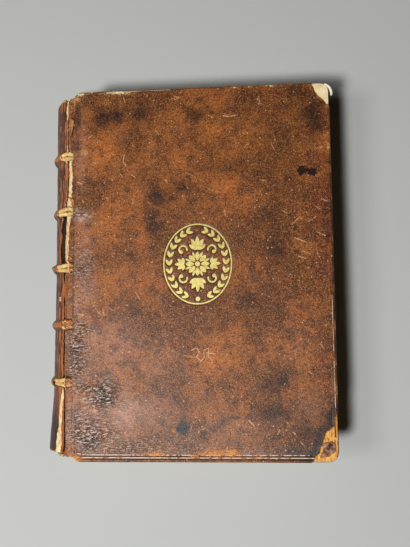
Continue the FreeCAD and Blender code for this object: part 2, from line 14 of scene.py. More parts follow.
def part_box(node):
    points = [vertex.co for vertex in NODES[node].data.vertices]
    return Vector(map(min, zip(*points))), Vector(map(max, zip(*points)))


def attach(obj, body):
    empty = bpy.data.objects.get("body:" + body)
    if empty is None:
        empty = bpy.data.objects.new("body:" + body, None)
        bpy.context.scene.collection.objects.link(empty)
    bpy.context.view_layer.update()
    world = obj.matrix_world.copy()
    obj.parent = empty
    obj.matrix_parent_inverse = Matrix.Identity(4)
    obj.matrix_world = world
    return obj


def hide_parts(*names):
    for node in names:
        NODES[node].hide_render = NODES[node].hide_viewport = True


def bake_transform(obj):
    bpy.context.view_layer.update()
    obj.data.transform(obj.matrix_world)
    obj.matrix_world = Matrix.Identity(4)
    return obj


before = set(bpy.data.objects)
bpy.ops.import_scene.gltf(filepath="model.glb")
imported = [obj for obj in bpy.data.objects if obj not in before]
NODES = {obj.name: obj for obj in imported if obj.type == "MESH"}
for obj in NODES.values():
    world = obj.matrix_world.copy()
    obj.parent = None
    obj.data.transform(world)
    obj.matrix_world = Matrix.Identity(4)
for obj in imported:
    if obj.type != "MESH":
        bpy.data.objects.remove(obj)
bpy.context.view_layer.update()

MM = 0.001

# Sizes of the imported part
BOOK_THICKNESS = 46.0
HALF_WIDTH = 87.2
HALF_HEIGHT = 125.0
CORNER_RADIUS = 6.5
EDGE_ROUNDING = 1.1
LEATHER = 0.8
BOARD_TOP = 4.0
FILLET_INSETS = (2.15, 4.05)
FILLET_WIDTH = 0.5
FILLET_DEPTH = 0.22
AXIS_X = -79.824
AXIS_Z = 23.0
BACK_RADIUS = 22.576
OUTER_RADIUS = 23.826
CORD_PATH_RADIUS = 23.776
BAND_RISE = 2.15
BAND_HALF = 3.55
BAND_YS = (80.4, 42.0, 3.6, -34.8, -73.2)
CRACK_ANGLE = 53.0
REAR_ANGLE = -55.4
SPINE_HEAD_Y = 120.2
SPINE_TAIL_Y = -119.0
FLARE_START_Y = -79.7
FLARE_BACK = 4.2
FLARE_FRONT = 3.0
STRIP_RADIUS = 9.26
STRIP_DIP = 1.1
STRIP_RUN = 5.85
STRIP_HEAD_Y = 121.2
STRIP_TAIL_Y = -121.8
REAR_JOINT_END = 122
STAMP = (-2.3, 4.3)
STAMP_HALF = (23.0, 27.0)
STAMP_DEPTH = 0.3
BLOCK_END = 120.5
BLOCK_FORE = 83.2
BLOCK_LOW = 5.0
BLOCK_HIGH = 41.0
HOLLOW = 5.5
NOTCH_HALF = 2.9

# The tooled lines are whole at the tail, past these places, and worn to this share of their depth elsewhere
FILLET_TAIL = (108, 118)
FILLET_KEPT = 0.12
# How deep the leather is cut away at a torn corner
TEAR_CUT = 3.9
# The leather is looked at for gold this far past the stamp's outline, and lies even this far past it
STAMP_MARGIN = 4
STAMP_EVEN = 2
# How near the gold the leather is measured, and what stands for any place farther away
FOIL_REACH = 2.0
FAR = 9.0
# Thickness of the leather where it isn't the covers' own
STRIP_THICKNESS = 0.75
SPINE_THICKNESS = 0.95
BAND_THICKNESS = 0.55

# Spacing of the points along each piece
SPINE_STEP = 0.45
STRIP_STEP = 0.4
CORNER_STEP = 0.35
CORD_STEP = 0.4

# Leather lost at the front cover's two fore-edge corners, down to the board
HEAD_TEAR = (
    (74.6, 127.5), (75.3, 124.1), (76.9, 121), (77.3, 119.2), (78.1, 117.5), (80.1, 115), (81.6, 113.9),
    (83.6, 111.7), (84.6, 110), (86.2, 109.2), (87.4, 107.5), (90, 107), (90, 127.5),
)
TAIL_TEAR = (
    (90, -93), (87.3, -93.4), (85.6, -95.2), (85, -96.6), (84.9, -99.5), (84.3, -101.6), (81.6, -104.1),
    (79.4, -105.2), (78.2, -106.6), (77.9, -109.2), (77, -111), (76.6, -113.2), (75.6, -114.8),
    (74.6, -118.2), (73, -120.4), (71.4, -121.8), (70.3, -124.2), (67.4, -127.5), (90, -127.5),
)
REMNANT = (
    (76.4, -113.4), (78.2, -112.2), (80.4, -111.9), (82.7, -111), (84.1, -112.2), (84.8, -114.4),
    (84.6, -116.6), (84.1, -118.4), (82.3, -119.2), (80.5, -120.9), (77.4, -121.2), (74.9, -121.8),
    (75.6, -119.6), (76.9, -116.6),
)

# Rags of leather beside the front joint: corners, their heights over the cover, and seed
FLAP_THICKNESS = 0.4
FLAPS = (("joint_flap_1", ((-89.9, 107.4), (-86.4, 105.2), (-88.4, 93.8)), (-1.0, 0.45, -0.35), 331),
         ("joint_flap_2", ((-90.3, 52.0), (-86.4, 50.0), (-85.4, 43.6)), (-1.3, 0.15, 0.35), 341),
         ("joint_flap_3", ((-90.4, 12.4), (-86.6, 9.6), (-88.6, 7.8)), (-1.2, 0.2, -0.2), 351))

# The bare board at the torn corners: lowest x, lowest and highest y, and 1 for the head or -1 for the tail
CORNER_BOARDS = (("corner_board_head", 72.5, 104.0, HALF_HEIGHT, 1),
                 ("corner_board_tail", 66.0, -HALF_HEIGHT, -91.0, -1))

# The pale sliver's middle line at the corner at the head
SPLINTER = (
    (84, 123.6, 46), (85.4, 122.7, 46.35), (86.6, 121.7, 46.5), (87.7, 120.3, 46.4), (88.4, 118.6, 46.1),
    (88.7, 116.8, 45.6), (88.3, 115.6, 45.3),
)

# The pale floor: its tone, from 0 to 255, and how far it reaches
FLOOR_TONE = (188, 189, 186)
FLOOR_REACH = 3000
# The lights: place, target and size in metres, and watts
KEY_LIGHT = ((-0.34, -0.47, 1.28), (0, 0, 0.03), 0.22, 17)
FILL_LIGHT = ((-0.72, -0.12, 1.15), (0, 0, 0), 0.35, 4.5)
ROOM_COLOUR = (0.95, 0.97, 1.0, 1)
ROOM_STRENGTH = 0.004
# The photo's camera: its place, and its turn in degrees about x, y and z at once
CAMERA_PLACE = (43.1, -45.7, 505.4)
CAMERA_TURN = (5.35, 5.06, -0.88)
CAMERA_LENS = 46.07
CAMERA_SENSOR = 36.0

# The bare cords' way across the front joint and into the board: x, how far they spread, and z
CORD_WAY = (
    (-94.4, 0.1, 42.4), (-93, 0.35, 43.6), (-91.4, 0.5, 44.6), (-89.8, 0.45, 45), (-88.3, 0.35, 44.9),
    (-87, 0.1, 44.4), (-85.6, 0, 43.9), (-75, 0, 43.9),
)
CORD_END_ANGLE = 46
CORD_RADIUS = 1.5
CORD_HALF_GAP = 1.2
CORD_STRANDS = 3
CORD_TWIST = 7.5

# The bands whose cords the cover's leather still covers beside the board, and how far it reaches
COVERED_BANDS = ((3.6, 2.6), (-34.8, 5.79), (-73.2, 5.0))
# Where the spine's leather ends short of its edge: the band, the degrees, and half the gap's width
BAND_GAPS = ((80.4, 10, 3.2), (42.0, 12, 3.4), (3.6, 9, 3.2), (-34.8, 0, 3), (-73.2, 25, 3.2))

# The pages are sewn in this many gatherings, and each is drawn in layers at these shares of its thickness
GATHERINGS = 20
GATHERING_LAYERS = (0.3, 0.6, 0.9)
# The shoulders beside the back, past the block's flat faces: layers, height, and how far they reach at most
SHOULDER_LAYERS = (0.02, 0.6, 1.1)
SHOULDER_HEIGHT = 1.2
SHOULDER_RUN = 3.0
SHOULDER_X = -91.7

# The endbands' threads: radius, depth in the back's curve, place past the pages' ends, and degrees
ENDBAND_RADIUS = 1.08
ENDBAND_INSET = 1.4
ENDBAND_OUT = 1.15
ENDBAND_ANGLE = 47


def smooth(value, low, high):
    """0 below low, 1 above high, and a soft step between them."""
    t = np.clip((value - low) / (high - low), 0, 1)
    return t * t * (3 - 2 * t)


def noise(x, y, size, seed):
    """Seeded value noise from 0 to 1, whose patches are about this size."""
    table = np.random.default_rng(seed).random((128, 128))
    u, v = np.asarray(x) / size + 512.37, np.asarray(y) / size + 512.81
    i, j = np.floor(u).astype(int), np.floor(v).astype(int)
    f, g = u - i, v - j
    f, g = f * f * (3 - 2 * f), g * g * (3 - 2 * g)
    low = table[i % 128, j % 128] * (1 - f) + table[(i + 1) % 128, j % 128] * f
    high = table[i % 128, (j + 1) % 128] * (1 - f) + table[(i + 1) % 128, (j + 1) % 128] * f
    return low * (1 - g) + high * g


def rough(x, y, size, seed, octaves=3):
    """Layers of noise, each half the size and strength of the last, from about -1 to 1."""
    total = 0
    for i in range(octaves):
        total = total + (noise(x, y, size / 2**i, seed + i) * 2 - 1) / 2**i
    return total


def blob(x, y, feature):
    """A soft patch: its centre, two radii, its strength and any turn in degrees."""
    cx, cy, rx, ry, strength, *turn = feature
    a = math.radians(turn[0]) if turn else 0.0
    u = (x - cx) * math.cos(a) + (y - cy) * math.sin(a)
    v = (y - cy) * math.cos(a) - (x - cx) * math.sin(a)
    return strength * np.exp(-((u / rx) ** 2 + (v / ry) ** 2) * 1.2)


def blobs(x, y, features):
    """Several soft patches, where the strongest at a point counts."""
    total = np.zeros_like(x)
    for feature in features:
        total = np.maximum(total, blob(x, y, feature))
    return total


def make_piece(name, points, faces, flat=False):
    """A mesh piece from points in millimetres."""
    mesh = bpy.data.meshes.new(name)
    mesh.from_pydata((np.asarray(points) * MM).tolist(), [], faces)
    mesh.update()
    if not flat:
        mesh.shade_smooth()
    piece = bpy.data.objects.new(name, mesh)
    bpy.context.scene.collection.objects.link(piece)
    return piece


def points_of(piece):
    co = np.zeros(len(piece.data.vertices) * 3, np.float32)
    piece.data.vertices.foreach_get("co", co)
    return co.reshape(-1, 3).astype(float) / MM


def move_points(piece, points):
    piece.data.vertices.foreach_set("co", (points * MM).astype(np.float32).ravel())
    piece.data.update()


def mark(piece, name, values):
    """Stores one number a point, for a material to read."""
    attribute = piece.data.attributes.new(name, "FLOAT", "POINT")
    attribute.data.foreach_set("value", np.asarray(values, np.float32))


def mark_sheet(piece, name, outer, inner=0.0):
    """Marks a sheet: its outer face point by point, and its inner face with one number."""
    mark(piece, name, np.concatenate([np.ravel(outer), np.full(np.size(outer), inner)]))


def grid_faces(rows, columns, first=0, close_columns=False):
    """The four-sided faces of a grid of points that are stored row by row."""
    wide = columns if close_columns else columns - 1
    r, c = np.meshgrid(np.arange(rows - 1), np.arange(wide), indexing="ij")
    c2 = (c + 1) % columns
    quads = np.stack([r * columns + c, r * columns + c2, (r + 1) * columns + c2, (r + 1) * columns + c], -1)
    return (quads.reshape(-1, 4) + first).tolist()


# The covers' leather


# Distances of the grid lines from a cover's edge: close at its rounding and in its tooled lines
EDGE_LINES = (
    0, 0.1, 0.3, 0.6, 1.1, 1.5, 1.9, 2, 2.15, 2.3, 2.4, 2.9, 3.4, 3.8, 3.9, 4.05, 4.2, 4.3, 4.8, 5.6, 6.5,
)


def cover_lines(half, dense_low, dense_high):
    """Grid lines across a cover: close at its edges and where the stamp is."""
    inner = np.concatenate([np.arange(-half + 7.5, dense_low, 1.0), np.arange(dense_low, dense_high, 0.5),
                            np.arange(dense_high, half - 7.0, 1.0)])
    return np.concatenate([[-half + i for i in EDGE_LINES], inner, [half - i for i in reversed(EDGE_LINES)]])


def thinned(lines):
    """Every line at both edges of a cover, and every other line between them."""
    count = len(EDGE_LINES)
    return np.concatenate([lines[:count], lines[count:-count:2], lines[-count:]])


def cover_grid(dense):
    """Points over a cover with rounded corners: x, y, and each one's distance from the outline."""
    if dense:
        xs = cover_lines(HALF_WIDTH, STAMP[0] - STAMP_HALF[0] - 1, STAMP[0] + STAMP_HALF[0] + 1)
        ys = cover_lines(HALF_HEIGHT, STAMP[1] - STAMP_HALF[1] - 1, STAMP[1] + STAMP_HALF[1] + 1)
    else:
        xs, ys = cover_lines(HALF_WIDTH, 0, 0), cover_lines(HALF_HEIGHT, 0, 0)
        xs, ys = thinned(xs), thinned(ys)
    y, x = np.meshgrid(ys, xs, indexing="ij")
    inset = np.minimum(HALF_WIDTH - np.abs(x), HALF_HEIGHT - np.abs(y))
    core_x, core_y = HALF_WIDTH - CORNER_RADIUS, HALF_HEIGHT - CORNER_RADIUS
    a = np.clip(np.abs(x) - core_x, 0, None)
    b = np.clip(np.abs(y) - core_y, 0, None)
    corner = (a > 0) & (b > 0)
    shrink = np.where(corner, np.maximum(a, b) / np.maximum(np.hypot(a, b), 1e-9), 1)
    x = np.where(corner, np.sign(x) * (core_x + a * shrink), x)
    y = np.where(corner, np.sign(y) * (core_y + b * shrink), y)
    return x, y, inset


def ring_order(rows, columns):
    """The grid's border points in order, counterclockwise from its first corner."""
    low = [(0, c) for c in range(columns)]
    right = [(r, columns - 1) for r in range(1, rows)]
    high = [(rows - 1, c) for c in range(columns - 2, -1, -1)]
    left = [(r, 0) for r in range(rows - 2, 0, -1)]
    return [r * columns + c for r, c in low + right + high + left]


# How the leather goes round a cover's edge and turns in, and how it ends at the joint: inset and depth
EDGE_PROFILE = (
    (0, 1.1), (0, 2.2), (0, 3.4), (0, 4.2), (0.35, 4.6), (5, 4.6), (14.9, 4.6), (14.9, 4.02), (0.85, 4),
    (0.8, 0.8),
)
JOINT_PROFILE = (
    (0, 1.1), (0, 1.4), (0, 1.65), (0.05, 1.85), (0.3, 1.95), (0.45, 1.95), (0.6, 1.93), (0.7, 1.85),
    (0.78, 1.6), (0.8, 0.8),
)


def cover_skin(name, front):
    """A cover's leather as a closed shell, turned in over three edges and cut short at the joint."""
    x, y, inset = cover_grid(front)
    rows, columns = x.shape
    s = np.clip(EDGE_ROUNDING - inset, 0, EDGE_ROUNDING)
    depth = EDGE_ROUNDING - np.sqrt(np.clip(EDGE_ROUNDING**2 - s**2, 0, None))
    kept = FILLET_KEPT + (1 - FILLET_KEPT) * smooth(-y, *FILLET_TAIL)
    for line in FILLET_INSETS:
        depth = depth + FILLET_DEPTH * kept * smooth(FILLET_WIDTH / 2 - np.abs(inset - line), -0.05, 0.12)
    x, y, depth = x.ravel(), y.ravel(), depth.ravel()
    border = ring_order(rows, columns)
    bx, by = x[border], y[border]
    cx = np.clip(bx, -HALF_WIDTH + CORNER_RADIUS, HALF_WIDTH - CORNER_RADIUS)
    cy = np.clip(by, -HALF_HEIGHT + CORNER_RADIUS, HALF_HEIGHT - CORNER_RADIUS)
    nx, ny = (bx - cx) / CORNER_RADIUS, (by - cy) / CORNER_RADIUS
    size = np.maximum(np.hypot(nx, ny), 1e-9)
    nx, ny = nx / size, ny / size
    joint = smooth(-nx, 0.6, 0.95)
    px, py, pd = [x], [y], [depth]
    core_x, core_y = HALF_WIDTH - CORNER_RADIUS, HALF_HEIGHT - CORNER_RADIUS
    for (edge_inset, edge_depth), (joint_inset, joint_depth) in zip(EDGE_PROFILE, JOINT_PROFILE):
        o = edge_inset * (1 - joint) + joint_inset * joint
        r = np.maximum(CORNER_RADIUS - o, 0.6)
        px.append(cx * (HALF_WIDTH - o - r) / core_x + r * nx)
        py.append(cy * (HALF_HEIGHT - o - r) / core_y + r * ny)
        pd.append(edge_depth * (1 - joint) + joint_depth * joint)
    px, py, pd = np.concatenate(px), np.concatenate(py), np.concatenate(pd)
    faces = grid_faces(rows, columns)
    count, first = len(border), rows * columns
    ring = list(border)
    for k in range(len(EDGE_PROFILE)):
        following = [first + k * count + i for i in range(count)]
        for i in range(count):
            n = (i + 1) % count
            faces.append([ring[i], following[i], following[n], ring[n]])
        ring = following
    faces.append(ring[::-1])
    z = BOOK_THICKNESS - pd if front else pd
    if not front:
        faces = [f[::-1] for f in faces]
    return make_piece(name, np.stack([px, py, z], 1), faces)


def prism(points, low, high):
    """A closed prism, to cut with."""
    count = len(points)
    pairs = zip(points, points[1:] + points[:1])
    area = sum(x0 * y1 - x1 * y0 for (x0, y0), (x1, y1) in pairs)
    points = list(points) if area > 0 else list(points)[::-1]
    corners = [(x, y, low) for x, y in points] + [(x, y, high) for x, y in points]
    faces = [list(range(count))[::-1], list(range(count, 2 * count))]
    faces += [[i, (i + 1) % count, count + (i + 1) % count, count + i] for i in range(count)]
    return make_piece("cutter", corners, faces, flat=True)


def jagged(points, amount, seed, step=0.7):
    """The same outline with short uneven runs."""
    rng = np.random.default_rng(seed)
    out = []
    for i, (x0, y0) in enumerate(points):
        x1, y1 = points[(i + 1) % len(points)]
        length = math.hypot(x1 - x0, y1 - y0)
        count = max(1, int(length / step))
        for k in range(count):
            t = k / count
            shift = rng.uniform(-amount, amount) if k else 0
            out.append((x0 + (x1 - x0) * t - (y1 - y0) / length * shift,
                        y0 + (y1 - y0) * t + (x1 - x0) / length * shift))
    return out


def cut_away(piece, outlines, low, high):
    """Cuts prisms on these outlines out of a piece."""
    for outline in outlines:
        tool = prism(outline, low, high)
        cut = piece.modifiers.new("cut", "BOOLEAN")
        cut.operation = "DIFFERENCE"
        cut.solver = "EXACT"
        cut.object = tool
        graph = bpy.context.evaluated_depsgraph_get()
        made = bpy.data.meshes.new_from_object(piece.evaluated_get(graph))
        piece.modifiers.clear()
        old = piece.data
        piece.data = made
        bpy.data.meshes.remove(old)
        bpy.data.objects.remove(tool)
    return piece


def distance_to_outline(x, y, outline):
    """How far points are from a closed outline."""
    best = np.full(x.shape, 1e9)
    for i, (x0, y0) in enumerate(outline):
        x1, y1 = outline[(i + 1) % len(outline)]
        dx, dy = x1 - x0, y1 - y0
        t = np.clip(((x - x0) * dx + (y - y0) * dy) / (dx * dx + dy * dy), 0, 1)
        best = np.minimum(best, np.hypot(x - x0 - t * dx, y - y0 - t * dy))
    return best


def foil_distance(x, y):
    """How far points on the cover are from the gold, up to FOIL_REACH."""
    foil = NODES["gilt_oval"].data
    low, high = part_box("gilt_oval")
    corners = [v.co.copy() for v in foil.vertices]
    top = [p.vertices[:] for p in foil.polygons if p.normal.z > 0.9]
    tree = BVHTree.FromPolygons([Vector((c.x, c.y, 0)) for c in corners], top)
    out = np.full(x.shape, FAR)
    reach = FOIL_REACH * MM
    near = (x * MM > low.x - reach) & (x * MM < high.x + reach)
    near &= (y * MM > low.y - reach) & (y * MM < high.y + reach)
    for i in np.nonzero(near)[0]:
        found = tree.find_nearest(Vector((x[i] * MM, y[i] * MM, 0)), reach)
        if found[3] is not None:
            out[i] = found[3] / MM
    return out


# Patches on the front cover: centre x and y, two radii, strength and any turn in degrees
DARK_STAINS = (
    (-62, 107, 17, 10, 0.8, 5), (-41, 108, 9, 11, 0.7), (-0.9, 106.5, 16, 8, 0.5),
    (-11.5, 56.6, 12, 7, 0.85, -15), (-28, 49.5, 14, 11, 0.8, 10), (-32, 34, 9, 16, 0.6, 20),
    (75.3, 100, 11, 16, 0.85, 10), (64, 118, 14, 5, 0.85, -8), (80.5, 107, 6, 9, 0.75),
    (57.9, 60.3, 4.5, 6, 0.5), (47.8, 12, 12, 16, 0.6), (44.9, 35.8, 12, 9, 0.55), (33.7, 0.8, 6, 9, 0.35),
    (-45.7, -26, 6, 9, 0.6, 20), (-67.9, -55.2, 5, 4, 0.4), (-31.1, -75.1, 5, 4, 0.45),
    (13.5, -99.5, 12, 3.6, 0.8, 22), (1.4, -108.6, 4.4, 4.4, 0.9), (16.5, -112, 5, 3.6, 0.6),
    (6.3, -82.4, 4.4, 4.4, 0.4), (67.7, -25.4, 5, 5, 0.65), (43.8, -20.5, 8, 6, 0.4),
    (34.9, -41.9, 8, 9, 0.35), (49.2, -72.3, 10, 9, 0.95), (45.6, -93.4, 15, 9, 0.65),
    (73, -109, 13, 13, 1, 30), (61, -119, 15, 5, 1), (80, -99, 9, 10, 1, 40), (83, -90, 4, 10, 0.5),
    (-84, 98, 4, 24, 0.7), (-83.5, -52, 5, 20, 0.65), (-80.5, -74.5, 9, 8, 0.55), (-63.5, -80, 11, 12, 0.9),
    (-76, -112, 13, 8, 0.8), (-84, -97, 5, 12, 0.5), (-47, -66, 8, 6, 0.3), (25, -118, 40, 5, 0.4),
    (83.5, 30, 5, 40, 0.45), (86.4, 0, 1.6, 140, 0.7), (-86.2, 10, 1.2, 130, 0.55), (20, 70, 34, 16, 0.35),
    (56, 92, 20, 16, 0.35), (30, -20, 26, 20, 0.35), (-4, -88, 30, 12, 0.3), (-52, -111, 12, 6, 0.4),
    (-20, -92, 12, 5, 0.3),
)
ORANGE_WORN = (
    (-66, 82, 15, 12, 0.9), (-52, 72, 14, 13, 0.7, -10), (10.5, 95, 17, 11, 0.6), (16, 57, 18, 10, 0.7, -15),
    (-40.5, 26, 8, 22, 0.65, 8), (-60, 30, 16, 26, 0.5), (9, -58, 24, 20, 0.7), (36, 88, 26, 22, 0.35),
    (-47.8, -100.5, 8, 7, 0.45), (60, 66, 16, 16, 0.3), (-60, -4, 16, 20, 0.45), (46, -56, 18, 14, 0.3),
    (-16, 88, 18, 16, 0.45), (0, 34, 30, 10, 0.35), (60, -78, 12, 10, 0.25),
)
RED_TONES = (
    (80, 34, 9, 44, 0.9), (79, 74, 10, 8, 0.8), (0, 118, 60, 5, 0.5), (60, -40, 26, 40, 0.4),
    (24, 45, 12, 26, 0.4), (-70, -34, 12, 6, 0.6), (78, -60, 9, 26, 0.6), (-80, -112, 5, 9, 0.4),
    (-86.5, 109, 4, 9, 1), (70, 48, 12, 14, 0.4),
)
# Pink patches: mostly a painted sheen on the lower left and beside the joint, where the leather catches the
# light, and partly pink tone of the leather
PINK_TONE_AND_SHEEN = (
    (-58, -46, 26, 22, 0.6), (-38, -92, 26, 14, 0.5), (-30, -60, 20, 22, 0.35), (20, -104, 40, 12, 0.35),
    (62, -52, 16, 22, 0.35), (-78, 34, 8, 10, 0.5), (-76, -14, 9, 16, 0.5), (-88, -100, 4, 24, 1),
    (-82, 84, 6, 34, 0.8), (-74, -96, 16, 16, 0.9), (-70, -112, 26, 8, 0.7), (-50, -93, 14, 12, 1),
    (70, -90, 12, 20, 0.4),
)
# The crinkled, glossy places: real relief and shine, and also a painted highlight on the fold crests and
# painted shade in the fold troughs
CRINKLED = (
    (-82.4, -46, 7, 14, 1), (-83, -64, 6, 10, 0.8), (-75, -77.5, 12, 5, 0.9), (-70, -86, 13, 7, 0.9),
    (-77, -105, 16, 13, 1), (-64, -80, 10, 10, 0.8), (-80, -93, 7, 9, 0.6), (-50, -115, 34, 6, 0.5),
    (10, -117, 50, 4, 0.3), (-83, 40, 5, 5, 0.5), (-80, 5, 7, 22, 0.3), (-84, -20, 4, 9, 0.35),
    (-81, 39, 6, 3.5, 0.9), (-80.5, 1, 6, 3, 0.8), (-80, -38, 8, 4, 1, -10), (-66, -84, 12, 5, 1, -8),
    (-72, -108, 16, 7, 1, 10),
)
TAN_SCUFFS = (
    (-78.7, 82, 4.2, 2.4, 0.9, -30), (-72, 74.4, 4, 1.5, 0.8, 20), (-80.2, -28.5, 3.8, 1.2, 0.9, 30),
    (-45.5, 86.4, 1.2, 3.4, 0.6, 10), (-45.6, 47.8, 1, 3.4, 0.9), (-63.5, 116.6, 3, 2.6, 0.6),
    (-17.2, 117.4, 4.4, 1.1, 0.7, 10), (-86.6, 114, 1.2, 4.4, 0.8), (-84.6, 119.8, 3.4, 3, 0.9),
    (-19.4, -104.8, 1.6, 1.6, 1), (80, 80, 5, 1.2, 0.6, 10), (85.6, 80.5, 1.2, 3.2, 1),
    (-56, -106, 5, 2, 0.3), (-8, 118, 8, 0.8, 0.4, 3), (72, 16, 3.4, 1.4, 0.5), (-55, 73, 2, 1.5, 0.3),
    (-66.5, -29, 1.2, 5.5, 0.5, -15), (-62, -26, 6, 1, 0.4), (44, -67, 4, 1.4, 0.35),
    (-84.6, -121.6, 3.2, 1.6, 0.9), (-80.6, -123.4, 3.6, 1.2, 0.8), (86.9, 66, 0.8, 3, 0.8),
    (86.9, 46, 0.7, 2.4, 0.8), (86.9, 19, 0.7, 4, 0.7), (86.9, -12, 0.7, 3, 0.7), (86.9, -38, 0.8, 5, 0.8),
    (86.9, -62, 0.8, 4, 0.8), (86.8, -80, 0.9, 5, 0.9), (-10, -124.9, 74, 0.7, 0.75),
    (30, 124.6, 12, 0.6, 0.7), (62, 124.6, 9, 0.6, 0.7), (-40, 124.6, 8, 0.6, 0.6),
)
BOTTOM_WEAR = (
    (-32, -119.4, 9.5, 1.9, 0.75), (8, -119, 14, 2.3, 0.85, 2), (18, -118.6, 6.5, 2.6, 1),
    (-6, -120.8, 4, 1.2, 0.7), (35, -121.6, 7, 1, 0.4), (-56, 123.4, 9.5, 1.4, 1), (24, 123.6, 3, 0.7, 0.7),
    (48, 123.8, 3.6, 0.7, 0.8), (34, 123.7, 2, 0.6, 0.7), (-84.6, -123, 3, 2.2, 1), (-76, 124.4, 5, 0.7, 0.8),
    (-82.4, 123.2, 3.6, 1.5, 0.95),
)
INK_SPOTS = (
    (67.6, 65.2, 3.3, 3.9, 1), (74.2, 63.9, 3.7, 3.3, 1, -12), (71, 65.2, 2, 1.7, 0.9),
)
BLUE_SPOT = (
    (-12.9, -103.2, 5.2, 5, 1),
)
PATCHES = {
    "dark": DARK_STAINS, "orange": ORANGE_WORN, "red": RED_TONES, "pink_and_sheen": PINK_TONE_AND_SHEEN, "crinkle": CRINKLED,
    "scuff": TAN_SCUFFS, "bare": BOTTOM_WEAR, "ink": INK_SPOTS, "blue": BLUE_SPOT,
}


def cover_patches(piece, x, y):
    """Marks the front cover's patches at these places."""
    for name, features in PATCHES.items():
        mark(piece, name, blobs(x, y, features))


def front_masks(piece, tears):
    """Marks the front cover's patches and its torn edges."""
    p = points_of(piece)
    x, y = p[:, 0], p[:, 1]
    depth = BOOK_THICKNESS - p[:, 2]
    cover_patches(piece, x, y)
    torn = np.full(x.shape, 1e9)
    for outline in tears:
        torn = np.minimum(torn, distance_to_outline(x, y, outline))
    mark(piece, "torn", 1 - smooth(torn, 0.0, 1.3))
    mark(piece, "tear_stain", (1 - smooth(torn, 2.0, 9.0)) * smooth(-y, 60, 80))
    mark(piece, "flesh", smooth(depth, 0.06, 0.4) * (1 - smooth(torn, 0.05, 0.5)))
    return torn


def make_front_leather():
    piece = cover_skin("front_leather_skin", True)
    p = points_of(piece)
    top = p[:, 2] > BOOK_THICKNESS - 0.4
    for axis in (0, 1):
        top &= np.abs(p[:, axis] - STAMP[axis]) < STAMP_HALF[axis] + STAMP_MARGIN
    near = np.full(len(p), FAR)
    near[top] = foil_distance(p[top, 0], p[top, 1])
    p[:, 2] -= STAMP_DEPTH * (1 - smooth(near, 0.1, 0.55))
    move_points(piece, p)
    # Marks the leather round the gold for painted shade, where the tooling's impression lies
    mark(piece, "gold_rim_shade", 1 - smooth(near, 0.3, 1.1))
    tears = [jagged(HEAD_TEAR, 0.35, 3), jagged(TAIL_TEAR, 0.4, 4)]
    cut_away(piece, tears, BOOK_THICKNESS - TEAR_CUT, BOOK_THICKNESS + 2)
    torn = front_masks(piece, tears)
    p = points_of(piece)
    x, y = p[:, 0], p[:, 1]
    top = smooth(p[:, 2], BOOK_THICKNESS - 2.0, BOOK_THICKNESS - 1.0)
    wave = 0.05 * rough(x, y, 26, 11) + 0.04 * rough(x, y, 6, 15)
    inner = smooth(np.minimum(HALF_WIDTH - np.abs(x), HALF_HEIGHT - np.abs(y)), 1.0, 6.0)
    even_x, even_y = STAMP_HALF[0] + STAMP_EVEN, STAMP_HALF[1] + STAMP_EVEN
    still = smooth(np.maximum(np.abs(x - STAMP[0]) / even_x, np.abs(y - STAMP[1]) / even_y), 0.96, 1.1)
    crinkle = 0.10 * rough(x, y * 1.5, 2.6, 21) * blobs(x, y, CRINKLED)
    p[:, 2] += top * inner * still * (np.clip(wave, -0.08, 0.08) + crinkle)
    p[:, 2] += top * 0.22 * (1 - smooth(torn, 0, 1.4)) * np.clip(rough(x, y, 2.2, 31) + 0.6, 0, 1.5)
    move_points(piece, p)
    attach(piece, "front_cover")
    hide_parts("front_leather")
    return piece


def make_rear_leather():
    piece = cover_skin("rear_leather_skin", False)
    p = points_of(piece)
    x, y = p[:, 0], p[:, 1]
    for name, value in (("dark", rough(x, y, 40, 51) * 0.4), ("orange", rough(x, y, 50, 55) * 0.5)):
        mark(piece, name, np.clip(value, 0, 1))
    edge = np.minimum(HALF_WIDTH - np.abs(x), HALF_HEIGHT - np.abs(y))
    mark(piece, "scuff", (1 - smooth(edge, 0.5, 2.0)) * smooth(rough(x, y, 14, 57), 0.2, 0.8))
    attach(piece, "rear_cover")
    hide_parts("rear_leather")
    return piece


# The leather that crosses the joints


def strip_width(y):
    """How far the front cover's leather still reaches over the joint, at each height."""
    heights = [-125, -112, -100, -86, -80, -60, -34, 0, 8, 18, 30, 38, 50, 70, 84, 95, 106, 118, 125]
    widths = [5.6, 5.7, 5.8, 5.8, 5.7, 5.5, 5.6, 5.6, 5.8, 5.7, 4.9, 4.0, 3.1, 2.9, 3.1, 3.4, 3.4, 2.9, 2.2]
    return np.interp(y, heights, widths)


def strip_raw(y):
    """How wide the pale torn edge of that leather is."""
    heights = [-125, -1, 6, 12, 36, 44, 50, 72, 80, 90, 125]
    widths = [-0.3, -0.3, 1.0, 2.1, 2.3, 1.6, 2.1, 1.7, 0.6, -0.3, -0.3]
    return np.interp(y, heights, widths)


def spine_raw(y):
    """How wide the pale torn edge of the spine's leather is."""
    heights = [-120, -112, -104, -97, -90, -82, -77, -72, 72, 78, 84, 95, 104, 112, 121]
    widths = [7.0, 6.2, 5.0, 5.2, 4.4, 3.0, 0.8, -0.3, -0.3, 0.2, 0.5, 0.2, 0.5, 1.5, 0.9]
    return np.interp(y, heights, widths)


def spine_reach(y):
    """The angle round the back at which the spine's leather ends."""
    heights = [-120, -104, -90, -80, -73, -60, -34, -8, 0, 6, 16, 26, 36, 44, 52, 60, 78, 84, 96, 110, 121]
    angles = [61, 60.5, 60, 59, 57, 56, 56, 55, 53, 44, 43.5, 45, 48, 55, 60, 61, 61.5, 61, 60, 61, 62]
    return np.interp(y, heights, angles)


def strip_depth(run):
    """The joint leather's depth below the cover's outer face, by its distance from the board."""
    return STRIP_DIP + STRIP_RADIUS - np.sqrt(STRIP_RADIUS**2 - np.clip(run, 0, STRIP_RUN) ** 2)


